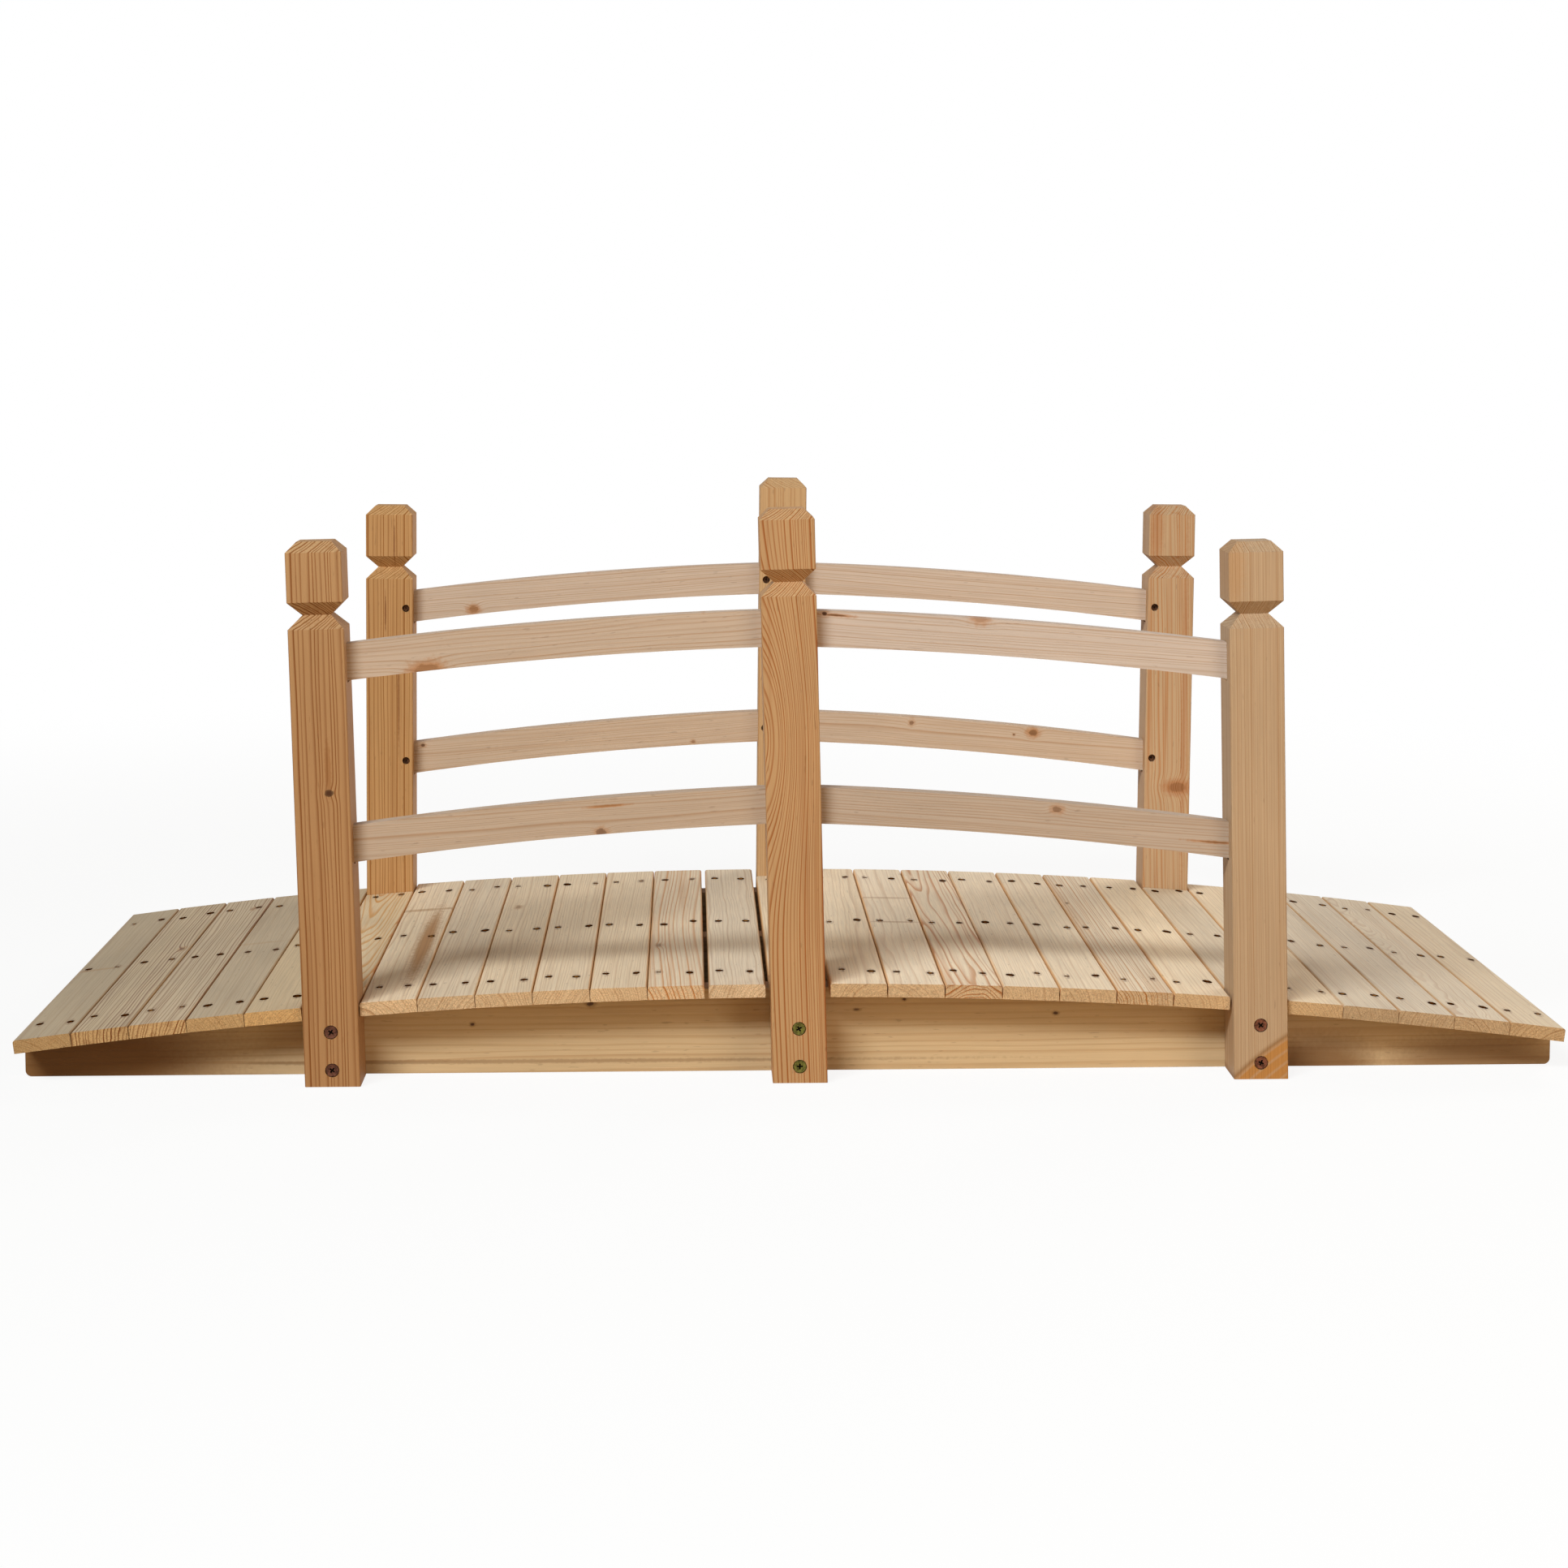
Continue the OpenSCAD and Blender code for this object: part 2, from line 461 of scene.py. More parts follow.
class GrowthRings(SharedGroup):
    """Rings around the pith of a log, with the fibres, streaks, patches and resin flecks along it.

    Sizes of noise are repeats for each metre, twice across the fibres and then along them.
    """

    SEED_DRIFT = (13.7, 7.9, 3.1)
    ACROSS_SWAY = 26.0
    SWAY_REACH = 4.0
    SWAY_DETAIL = 1.5
    RIPPLES = (70.0, 70.0, 5.0)
    RIPPLE_IN_RINGS = 1.4
    RIPPLE_IN_WAVERS = 3.0
    UNEVEN_RATE = 0.4
    UNEVEN_REACH = 1.6
    LATE_STARTS = (0.48, 0.88)
    LATE_ENDS = (0.9, 1.0)
    FAINTEST_RING = 0.4
    FIBRES = (900.0, 900.0, 22.0)
    STREAKS = (150.0, 150.0, 2.2)
    BLOTCHES = (16.0, 16.0, 6.0)
    FLECKS = (420.0, 420.0, 70.0)
    FLECK_SHOWS = (0.69, 0.78)

    def __init__(self) -> None:
        """Makes the group."""
        takes = {"Position": "v", "Pith": "v", "Slope": "v", "Ring": "f", "Waver": "f", "Sway": "f"}
        takes |= {"Push": "f", "Seed": "f"}
        gives = {name: "f" for name in ("Late", "Fibre", "Streak", "Blotch", "Fleck")}
        super().__init__("growth_rings", takes, gives)
        sheet, taken = self.sheet, self.taken
        self.drift = sheet.vector("SCALE", self.SEED_DRIFT, taken["Seed"])
        push = sheet.line(*self._ripple(), taken["Push"])
        radius = sheet.math("ADD", sheet.vector("LENGTH", self._from_pith()), push)
        count = sheet.math("DIVIDE", radius, taken["Ring"])
        uneven = sheet.add("TexNoise", noise_dimensions="1D")
        sheet.feed(uneven.inputs["W"], sheet.line(count, self.UNEVEN_RATE, taken["Seed"]))
        uneven.inputs["Scale"].default_value = 1.0
        uneven.inputs["Detail"].default_value = 0.0
        count = sheet.line(uneven.outputs[0], self.UNEVEN_REACH, count)
        share = sheet.math("FRACT", count)
        late = sheet.less(sheet.rise(share, *self.LATE_STARTS), sheet.rise(share, *self.LATE_ENDS))
        strength = sheet.add("TexWhiteNoise", noise_dimensions="1D")
        sheet.feed(strength.inputs["W"], sheet.math("FLOOR", count))
        strong = sheet.line(strength.outputs[0], 1.0 - self.FAINTEST_RING, self.FAINTEST_RING)
        self.give(
            Late=sheet.times(late, strong),
            Fibre=self._noise_at(self.FIBRES, 3.0),
            Streak=self._noise_at(self.STREAKS, 2.0),
            Blotch=self._noise_at(self.BLOTCHES, 2.0),
            Fleck=sheet.rise(self._noise_at(self.FLECKS, 1.0), *self.FLECK_SHOWS),
        )

    def _noise_at(self, scale: Feed, detail: float, colour: bool = False) -> Socket:
        """Adds noise with its own number of repeats for each metre along each axis."""
        scaled = self.sheet.vector("MULTIPLY", self.taken["Position"], scale)
        return self.sheet.noise(self.sheet.vector("ADD", scaled, self.drift), detail, colour)

    def _from_pith(self) -> Socket:
        """Finds the way from the swaying, sloping pith to the surface.

        Returns:
            The way across the fibres.
        """
        sheet, taken = self.sheet, self.taken
        rate = sheet.math("DIVIDE", 1.0, taken["Sway"])
        scale = sheet.combine(self.ACROSS_SWAY, self.ACROSS_SWAY, rate)
        sway = self._noise_at(scale, self.SWAY_DETAIL, colour=True)
        sway = sheet.vector("SUBTRACT", sway, (0.5, 0.5, 0.5))
        sway = sheet.vector("SCALE", sway, sheet.times(taken["Waver"], self.SWAY_REACH))
        length = sheet.add("SeparateXYZ", taken["Position"]).outputs[2]
        out = sheet.vector("SUBTRACT", taken["Position"], taken["Pith"])
        out = sheet.vector("ADD", out, sway)
        out = sheet.vector("ADD", out, sheet.vector("SCALE", taken["Slope"], length))
        return sheet.vector("MULTIPLY", out, (1.0, 1.0, 0.0))

    def _ripple(self) -> tuple[Socket, Socket]:
        """Finds the small ripples in the rings.

        Returns:
            Noise about 0, and how far it may reach.
        """
        sheet, taken = self.sheet, self.taken
        ripple = sheet.less(self._noise_at(self.RIPPLES, 1.0), 0.5)
        in_rings = sheet.times(taken["Ring"], self.RIPPLE_IN_RINGS)
        in_wavers = sheet.times(taken["Waver"], self.RIPPLE_IN_WAVERS)
        return ripple, sheet.math("MINIMUM", in_rings, in_wavers)


class KnotMark(SharedGroup):
    """A branch through a piece: its dark wood, its bark rim, the orange wood around it and its swirl. Its
    orange wood alone also paints stains and patches of painted shade.

    Edges are distances from its middle, in radii.
    """

    RAGGED = 6.0 * MM
    RAGGED_NOISE = 260.0
    RAGGED_SHARE = 0.45
    CORE_ENDS = (0.55, 1.05)
    BARK_STARTS = (0.6, 0.9)
    BARK_ENDS = (0.95, 1.25)
    HALO_FADES = 0.8
    SEAM = 2.0
    LAYERS_PER_METRE = 210.0
    LAYER_SHOWS = (0.55, 0.95)
    SWIRL_REACH = 2.4

    def __init__(self) -> None:
        """Makes the group."""
        takes = {"Position": "v", "Centre": "v", "Through": "v", "Radius": "f", "Stretch": "f"}
        takes |= {"Core": "f", "Halo": "f", "Push": "f", "Fade": "f", "Layers": "f"}
        super().__init__("knot_mark", takes, {name: "f" for name in ("Core", "Rim", "Halo", "Push")})
        sheet, taken = self.sheet, self.taken
        off = sheet.vector("SUBTRACT", taken["Position"], taken["Centre"])
        depth = sheet.vector("DOT_PRODUCT", off, taken["Through"])
        off = sheet.vector("SUBTRACT", off, sheet.vector("SCALE", taken["Through"], depth))
        shrink = sheet.combine(1.0, 1.0, sheet.math("DIVIDE", 1.0, taken["Stretch"]))
        apart = sheet.vector("LENGTH", sheet.vector("MULTIPLY", off, shrink))
        smooth = sheet.math("DIVIDE", apart, taken["Radius"])
        ragged = sheet.noise(sheet.vector("SCALE", taken["Position"], self.RAGGED_NOISE))
        stray = sheet.math("MINIMUM", 1.0, sheet.math("DIVIDE", self.RAGGED, taken["Radius"]))
        stray = sheet.times(stray, sheet.times(taken["Fade"], self.RAGGED_SHARE))
        far = sheet.times(smooth, sheet.line(sheet.less(ragged, 0.5), stray, 1.0))
        core = sheet.less(1.0, sheet.rise(far, *self.CORE_ENDS))
        rim = sheet.less(sheet.rise(far, *self.BARK_STARTS), sheet.rise(far, *self.BARK_ENDS))
        faded = sheet.math("ADD", taken["Fade"], self.HALO_FADES)
        halo = sheet.less(1.0, sheet.rise(far, self.HALO_FADES, faded))
        seam = sheet.times(sheet.math("PINGPONG", halo, 0.5), taken["Layers"])
        layer = sheet.math("PINGPONG", sheet.times(apart, self.LAYERS_PER_METRE), 1.0)
        layer = sheet.rise(layer, *self.LAYER_SHOWS, taken["Layers"])
        halo = sheet.times(halo, sheet.less(1.0, layer))
        fall = sheet.math("DIVIDE", smooth, self.SWIRL_REACH)
        fall = sheet.math("EXPONENT", sheet.times(sheet.times(fall, fall), -1.0))
        self.give(
            Core=sheet.times(core, taken["Core"]),
            Rim=sheet.line(seam, self.SEAM, sheet.times(rim, taken["Core"])),
            Halo=sheet.times(halo, taken["Halo"]),
            Push=sheet.times(fall, sheet.times(taken["Radius"], taken["Push"])),
        )


class CutFaces(SharedGroup):
    """Tells end grain and sawn edges from broad faces, by the direction of the surface."""

    FACING = (0.15, 0.95)

    def __init__(self) -> None:
        """Makes the group."""
        takes = {"Normal": "v", "Along": "v", "Side": "v"}
        super().__init__("cut_faces", takes, {"End": "f", "Edge": "f"})
        sheet, taken = self.sheet, self.taken
        for name, axis in (("End", "Along"), ("Edge", "Side")):
            facing = sheet.math("ABSOLUTE", sheet.vector("DOT_PRODUCT", taken["Normal"], taken[axis]))
            sheet.feed(self.given[name], sheet.rise(facing, *self.FACING))


class FirColour(SharedGroup):
    """Puts the rings, fibres, knots and cut faces of a piece into its colour, roughness and relief."""

    BARK = paint(52, 29, 12)
    HEART = paint(74, 42, 18)
    CRUSHED = paint(108, 56, 8)
    STREAK_SHOWS = (0.5, 0.74)
    END_FIBRES = 2.2
    FACE_FLECKS = 0.22
    END_FLECKS = 0.25
    RESIN_RINGS = 0.5
    BARK_SHARE = 0.75
    SMOOTHEST = 0.5
    FIBRE_ROUGHNESS = 0.24
    LATE_ROUGHNESS = -0.1
    END_ROUGHNESS = 0.14
    LATE_RELIEF = 0.45
    CORE_RELIEF = 0.5

    def __init__(self) -> None:
        """Makes the group."""
        takes = {name: "f" for name in ("Late", "Fibre", "Streak", "Blotch", "Fleck", "End", "Edge")}
        takes |= {name: "f" for name in ("Core", "Rim", "Halo", "Stain")}
        takes |= {name: "c" for name in ("Early Wood", "Late Wood", "Resin", "End Tint", "Edge Tint")}
        takes |= {name: "f" for name in ("Rings", "End Rings", "Fibres", "Streaks", "Blotches")}
        super().__init__("fir_colour", takes, {"Colour": "c", "Roughness": "f", "Relief": "f"})
        sheet, taken = self.sheet, self.taken
        more = sheet.line(taken["End"], sheet.less(taken["End Rings"], 1.0), 1.0)
        rings = sheet.times(sheet.times(taken["Late"], taken["Rings"]), more)
        wood = sheet.mix(rings, taken["Early Wood"], taken["Late Wood"])
        streak = sheet.rise(taken["Streak"], *self.STREAK_SHOWS, taken["Streaks"])
        wood = sheet.mix(streak, wood, taken["Late Wood"])
        coarse = sheet.times(taken["Fibres"], sheet.line(taken["End"], self.END_FIBRES, 1.0))
        fibres = self._around_one(taken["Fibre"], coarse)
        shade = sheet.times(fibres, self._around_one(taken["Blotch"], taken["Blotches"]))
        wood = sheet.mix(1.0, wood, shade, "MULTIPLY")
        fleck = sheet.line(taken["End"], self.END_FLECKS, self.FACE_FLECKS)
        wood = sheet.mix(sheet.times(taken["Fleck"], fleck), wood, self.HEART)
        wood = sheet.mix(taken["Edge"], wood, taken["Edge Tint"], "MULTIPLY")
        wood = sheet.mix(taken["End"], wood, taken["End Tint"], "MULTIPLY")
        resin = sheet.mix(sheet.times(rings, self.RESIN_RINGS), taken["Resin"], self.HEART)
        wood = sheet.mix(taken["Halo"], wood, resin)
        wood = sheet.mix(taken["Core"], wood, self.HEART)
        wood = sheet.mix(sheet.times(taken["Rim"], self.BARK_SHARE), wood, self.BARK)
        rough = sheet.line(taken["Fibre"], self.FIBRE_ROUGHNESS, self.SMOOTHEST)
        rough = sheet.line(taken["Late"], self.LATE_ROUGHNESS, rough)
        relief = sheet.line(taken["Late"], self.LATE_RELIEF, taken["Fibre"])
        self.give(
            Colour=sheet.mix(taken["Stain"], wood, self.CRUSHED),
            Roughness=sheet.line(taken["End"], self.END_ROUGHNESS, rough),
            Relief=sheet.line(taken["Core"], self.CORE_RELIEF, relief),
        )

    def _around_one(self, noise: Feed, strength: Feed) -> Socket:
        """Turns noise about 0.5 into a factor about 1 that strays by a strength."""
        return self.sheet.line(self.sheet.line(noise, 2.0, -1.0), strength, 1.0)


class NailStain(SharedGroup):
    """Dark crushed fibres around the six nails of a board, drawn out along the grain."""

    NAILS = 6
    RAGGED_NOISE = (420.0, 420.0, 60.0)
    RAGGED_SHOWS = (0.3, 0.7)
    DRAWN_OUT = (1.0, 0.6, 0.34)
    REACH = (2.4 * MM, 5.6 * MM)
    STRENGTH = 0.66

    def __init__(self) -> None:
        """Makes the group."""
        nails = [f"Nail {number}" for number in range(1, self.NAILS + 1)]
        super().__init__("nail_stain", {"Position": "v"} | dict.fromkeys(nails, "v"), {"Stain": "f"})
        sheet, taken = self.sheet, self.taken
        ragged = sheet.noise(sheet.vector("MULTIPLY", taken["Position"], self.RAGGED_NOISE))
        stain: Feed = 0.0
        for nail in nails:
            off = sheet.vector("SUBTRACT", taken["Position"], taken[nail])
            far = sheet.vector("LENGTH", sheet.vector("MULTIPLY", off, self.DRAWN_OUT))
            stain = sheet.math("MAXIMUM", stain, sheet.less(1.0, sheet.rise(far, *self.REACH)))
        self.give(Stain=sheet.times(stain, sheet.rise(ragged, *self.RAGGED_SHOWS, self.STRENGTH)))


class MetalWear(SharedGroup):
    """Uneven plating with darker grime, for screws and nails."""

    PATCHES = 420.0
    SPECKS = 2600.0
    GRIME_SHOWS = (0.38, 0.68)
    SMOOTHEST = 0.34
    GRIME_ROUGHNESS = 0.25
    DULL_ROUGHNESS = 0.4
    SPECK_ROUGHNESS = 0.14

    def __init__(self) -> None:
        """Makes the group."""
        takes = {"Position": "v", "Plate": "c", "Grime": "c", "Amount": "f", "Dullness": "f"}
        super().__init__("metal_wear", takes, {"Colour": "c", "Roughness": "f", "Relief": "f"})
        sheet, taken = self.sheet, self.taken
        patch = sheet.noise(sheet.vector("SCALE", taken["Position"], self.PATCHES), 3.0)
        specks = sheet.noise(sheet.vector("SCALE", taken["Position"], self.SPECKS))
        grime = sheet.rise(patch, *self.GRIME_SHOWS, taken["Amount"])
        rough = sheet.line(grime, self.GRIME_ROUGHNESS, self.SMOOTHEST)
        rough = sheet.line(taken["Dullness"], self.DULL_ROUGHNESS, rough)
        self.give(
            Colour=sheet.mix(grime, taken["Plate"], taken["Grime"]),
            Roughness=sheet.line(specks, self.SPECK_ROUGHNESS, rough),
            Relief=specks,
        )


class Workshop:
    """The node groups that the finishes share, and the materials made from them."""

    FIR_RELIEF = (0.35, 0.35 * MM)
    METAL_RELIEF = (0.25, 0.05 * MM)
    METAL_GLOSS = 0.5

    def __init__(self) -> None:
        """Makes the shared groups."""
        self.rings = GrowthRings()
        self.knot = KnotMark()
        self.faces = CutFaces()
        self.colour = FirColour()
        self.stain = NailStain()
        self.wear = MetalWear()

    @staticmethod
    def blank(name: str) -> tuple[bpy.types.Material, NodeSheet]:
        """Makes an empty material.

        Args:
            name: Its name.

        Returns:
            The material and its nodes.
        """
        material = bpy.data.materials.new(name)
        material.use_nodes = True
        material.node_tree.nodes.clear()
        return material, NodeSheet(material.node_tree)

    def fir(self, name: str, lie: Lie, wood: Wood, nails: Sequence[Vector]) -> bpy.types.Material:
        """Makes the wood of one piece.

        Args:
            name: Name of the piece.
            lie: Where the piece lies.
            wood: Its finish.
            nails: Places of nails in it, in the frame.

        Returns:
            The material.
        """
        material, sheet = self.blank(name + "_fir")
        cut, tone = wood.cut, wood.tone
        coordinates = sheet.add("TexCoord").outputs
        mapping = sheet.add("Mapping", coordinates["Object"], vector_type="TEXTURE")
        mapping.inputs["Location"].default_value = lie.middle
        mapping.inputs["Rotation"].default_value = lie.turn
        place = mapping.outputs[0]
        marks = self._knots(sheet, place, lie, wood.knots)
        rings = self.rings.place(
            sheet,
            Position=place,
            Pith=(cut.pith[0] * MM, cut.pith[1] * MM, 0.0),
            Slope=(*cut.slope, 0.0),
            Ring=cut.ring * MM,
            Waver=cut.waver * MM,
            Sway=cut.sway * MM,
            Push=marks.pop("Push"),
            Seed=cut.seed,
        )
        faces = self.faces.place(sheet, Normal=coordinates["Normal"], Along=lie.along, Side=lie.side)
        stain: Feed = 0.0
        if nails:
            spots = {f"Nail_{number}": lie.local(spot) for number, spot in enumerate(nails, 1)}
            stain = self.stain.place(sheet, Position=place, **spots)["Stain"]
        colour = self.colour.place(
            sheet,
            **{socket.name: socket for socket in (*rings, *faces)},
            **marks,
            Stain=stain,
            Early_Wood=tone.early,
            Late_Wood=tone.late,
            Resin=tone.resin,
            End_Tint=tone.end,
            Edge_Tint=tone.edge,
            Rings=tone.rings,
            End_Rings=tone.end_rings,
            Fibres=tone.fibre,
            Streaks=tone.streak,
            Blotches=tone.blotch,
        )
        surface = self._surface(sheet, colour, *self.FIR_RELIEF)
        surface["Specular IOR Level"].default_value = tone.gloss
        return material

    def _knots(
        self, sheet: NodeSheet, place: Socket, lie: Lie, knots: Sequence[Knot]
    ) -> dict[str, Feed]:
        """Places the knots of a piece and adds up their marks.

        Args:
            sheet: The material's nodes.
            place: Position in the piece.
            lie: Where the piece lies.
            knots: The knots.

        Returns:
            Core, rim, halo and push of all of them together.
        """
        marks: dict[str, Feed] = dict.fromkeys(("Core", "Rim", "Halo", "Push"), 0.0)
        for knot in knots:
            mark = self.knot.place(
                sheet,
                Position=place,
                Centre=lie.local(Vector(knot.at) * MM),
                Through=lie.local_direction(lie.through),
                Radius=knot.radius * MM,
                Stretch=knot.stretch,
                Core=knot.core,
                Halo=knot.halo,
                Push=knot.push,
                Fade=knot.fade,
                Layers=knot.layers,
            )
            for name, value in marks.items():
                marks[name] = sheet.math("ADD" if name == "Push" else "MAXIMUM", value, mark[name])
        return marks

    @staticmethod
    def _surface(
        sheet: NodeSheet, looks: bpy.types.bpy_prop_collection, strength: float, depth: float
    ) -> bpy.types.bpy_prop_collection:
        """Adds the shader of a material and feeds it a group's colour, roughness and relief.

        Args:
            sheet: The material's nodes.
            looks: Outputs of the group.
            strength: How strongly the relief shows.
            depth: How deep it goes, in metres.

        Returns:
            The shader's inputs.
        """
        shader = sheet.add("BsdfPrincipled")
        sheet.add("OutputMaterial", shader.outputs[0])
        bump = sheet.add("Bump")
        bump.inputs["Strength"].default_value = strength
        bump.inputs["Distance"].default_value = depth
        sheet.feed(bump.inputs["Height"], looks["Relief"])
        sheet.feed(shader.inputs["Normal"], bump.outputs[0])
        sheet.feed(shader.inputs["Base Color"], looks["Colour"])
        sheet.feed(shader.inputs["Roughness"], looks["Roughness"])
        return shader.inputs

    def metal(self, name: str, finish: Metal) -> bpy.types.Material:
        """Makes the metal of a fastener.

        Args:
            name: Name of the material.
            finish: Its finish.

        Returns:
            The material.
        """
        material, sheet = self.blank(name)
        worn = self.wear.place(
            sheet,
            Position=sheet.add("TexCoord").outputs["Object"],
            Plate=finish.plate,
            Grime=finish.grime,
            Amount=finish.amount,
            Dullness=1.0 - finish.shine,
        )
        surface = self._surface(sheet, worn, *self.METAL_RELIEF)
        surface["Metallic"].default_value = finish.shine
        surface["Specular IOR Level"].default_value = self.METAL_GLOSS * finish.shine
        return material


def put_on(piece: bpy.types.Object, *finishes: bpy.types.Material) -> None:
    """Gives a piece its finishes, in the order of its slots.

    Args:
        piece: The piece.
        *finishes: Its materials.
    """
    piece.data.materials.clear()
    for finish in finishes:
        piece.data.materials.append(finish)


class Modeller:
    """Shapes meshes with Blender's own operators, as by hand."""

    FACING = 0.9

    @staticmethod
    def clear() -> None:
        """Leaves nothing selected."""
        bpy.ops.object.select_all(action="DESELECT")

    @staticmethod
    def activate(piece: bpy.types.Object) -> None:
        """Selects one piece alone and makes it active.

        Args:
            piece: The piece.
        """
        Modeller.clear()
        piece.select_set(True)
        bpy.context.view_layer.objects.active = piece

    @staticmethod
    def edit(editing: bool) -> None:
        """Enters or leaves edit mode."""
        bpy.ops.object.mode_set(mode="EDIT" if editing else "OBJECT")

    @staticmethod
    def settle() -> bpy.types.Object:
        """Moves the place, turn and scale of the active piece into its mesh, and gives the piece."""
        bpy.ops.object.transform_apply(location=True, rotation=True, scale=True)
        return bpy.context.object

    @staticmethod
    def cylinder(segments: int, radius: float, top: float, depth: float) -> bpy.types.Object:
        """Adds an upright cylinder.

        Args:
            segments: Number of its sides.
            radius: Its radius, in metres.
            top: Height of its upper face, in metres.
            depth: Its length, in metres.

        Returns:
            The cylinder.
        """
        Modeller.clear()
        bpy.ops.mesh.primitive_cylinder_add(
            vertices=segments, radius=radius, depth=depth, location=(0, 0, top - depth / 2)
        )
        return Modeller.settle()

    @staticmethod
    def pick_faces(test: Callable[[bmesh.types.BMFace], bool]) -> None:
        """Selects faces of the mesh in edit mode.

        Args:
            test: Says which faces.
        """
        bpy.ops.mesh.select_mode(type="FACE")
        bpy.ops.mesh.select_all(action="DESELECT")
        mesh = bpy.context.edit_object.data
        shape = bmesh.from_edit_mesh(mesh)
        shape.faces.ensure_lookup_table()
        for face in shape.faces:
            if test(face):
                face.select_set(True)
        bmesh.update_edit_mesh(mesh)

    @staticmethod
    def pick_upper() -> None:
        """Selects the faces that look up."""
        Modeller.pick_faces(lambda face: face.normal.z > Modeller.FACING)

    @staticmethod
    def assign(piece: bpy.types.Object, slot: int) -> None:
        """Gives the selected faces the finish of a slot."""
        piece.active_material_index = slot
        bpy.ops.object.material_slot_assign()

    @staticmethod
    def subtract(body: bpy.types.Object, tool: bpy.types.Object) -> None:
        """Cuts one mesh out of another and removes the tool.

        Args:
            body: Mesh to cut.
            tool: Mesh to cut out of it.
        """
        Modeller.activate(body)
        cut = body.modifiers.new("recess", "BOOLEAN")
        cut.operation = "DIFFERENCE"
        cut.solver = "EXACT"
        cut.object = tool
        bpy.ops.object.modifier_apply(modifier=cut.name)
        bpy.data.objects.remove(tool)

    @staticmethod
    def spread(placed: Sequence[Placed], name: str) -> None:
        """Copies patterns to their places and joins the copies to one piece of the bridge, at the origin.

        Args:
            placed: Patterns at the origin, each with the place of its copy.
            name: Name of the piece.
        """
        Modeller.clear()
        copies = []
        for pattern, place in placed:
            copy = pattern.copy()
            copy.data = pattern.data.copy()
            copy.data.transform(place)
            bpy.context.collection.objects.link(copy)
            copy.select_set(True)
            copies.append(copy)
        piece = copies[0]
        bpy.context.view_layer.objects.active = piece
        bpy.ops.object.join()
        piece.name = name
        piece.data.name = name
        Modeller.clear()
        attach(piece, BODY)
        LOG.info("made %s: %d heads", name, len(placed))

    @staticmethod
    def retire(*patterns: bpy.types.Object) -> None:
        """Removes patterns once their copies are made."""
        for pattern in patterns:
            bpy.data.objects.remove(pattern)


@dataclass
class CrossHeadScrew:
    """A flat-headed screw with a cross recess, seen from its head, in millimetres and degrees.

    The constants tell its flat top and the faces in its recess from the rest.
    """

    radius: float = 6.1
    height: float = 2.5
    rim: float = 0.55
    dish: float = 0.25
    bevel: float = 0.35
    recess_length: float = 8.0
    recess_width: float = 2.2
    recess_depth: float = 2.1
    taper: float = 0.5
    segments: int = 36
    smooth_angle: float = 35.0

    FLAT = 0.99
    TOP_MARGIN = 0.02
    RECESS_MARGIN = 0.05
    RECESS_REACH = 0.55
    ABOVE_BOTTOM = 0.95

    def model(self, finish: bpy.types.Material, recess: bpy.types.Material) -> bpy.types.Object:
        """Models the head with its top at the origin, looking along Z.

        Args:
            finish: Its metal.
            recess: Finish of the cross recess, painted dark for the shade in it.

        Returns:
            The head.
        """
        head = Modeller.cylinder(self.segments, self.radius * MM, 0.0, self.height * MM)
        Modeller.edit(True)
        Modeller.pick_upper()
        bpy.ops.mesh.bevel(offset=self.bevel * MM, segments=2, affect="EDGES")
        Modeller.pick_faces(self._on_top)
        bpy.ops.mesh.inset(thickness=self.rim * MM, depth=-self.dish * MM)
        Modeller.edit(False)
        for turn in (0.0, math.pi / 2):
            Modeller.subtract(head, self._cutter(turn))
        Modeller.activate(head)
        bpy.ops.object.shade_smooth_by_angle(angle=math.radians(self.smooth_angle))
        put_on(head, finish, recess)
        Modeller.edit(True)
        Modeller.pick_faces(self._in_recess)
        Modeller.assign(head, 1)
        Modeller.edit(False)
        return head

    def _on_top(self, face: bmesh.types.BMFace) -> bool:
        """Tells whether a face is the flat top of the head."""
        return face.normal.z > self.FLAT and face.calc_center_median().z > -self.TOP_MARGIN * MM

    def _in_recess(self, face: bmesh.types.BMFace) -> bool:
        """Tells whether a face lies in the cross recess.

        Args:
            face: A face of the head.

        Returns:
            Whether it does.
        """
        middle = face.calc_center_median() / MM
        below = -self.ABOVE_BOTTOM * self.height < middle.z < -(self.dish + self.RECESS_MARGIN)
        return below and middle.xy.length < self.RECESS_REACH * self.recess_length

    def _cutter(self, turn: float) -> bpy.types.Object:
        """Models one arm pair of the recess, narrowing towards its bottom.

        Args:
            turn: Turn of the arms.

        Returns:
            The cutter.
        """
        Modeller.clear()
        bpy.ops.mesh.primitive_cube_add(size=MM, rotation=(0, 0, turn))
        bpy.context.object.scale = (self.recess_length, self.recess_width, 2 * self.recess_depth)
        arm = Modeller.settle()
        Modeller.edit(True)
        Modeller.pick_faces(lambda face: face.normal.z < -Modeller.FACING)
        bpy.ops.transform.resize(value=(self.taper, self.taper, 1.0))
        Modeller.edit(False)
        return arm


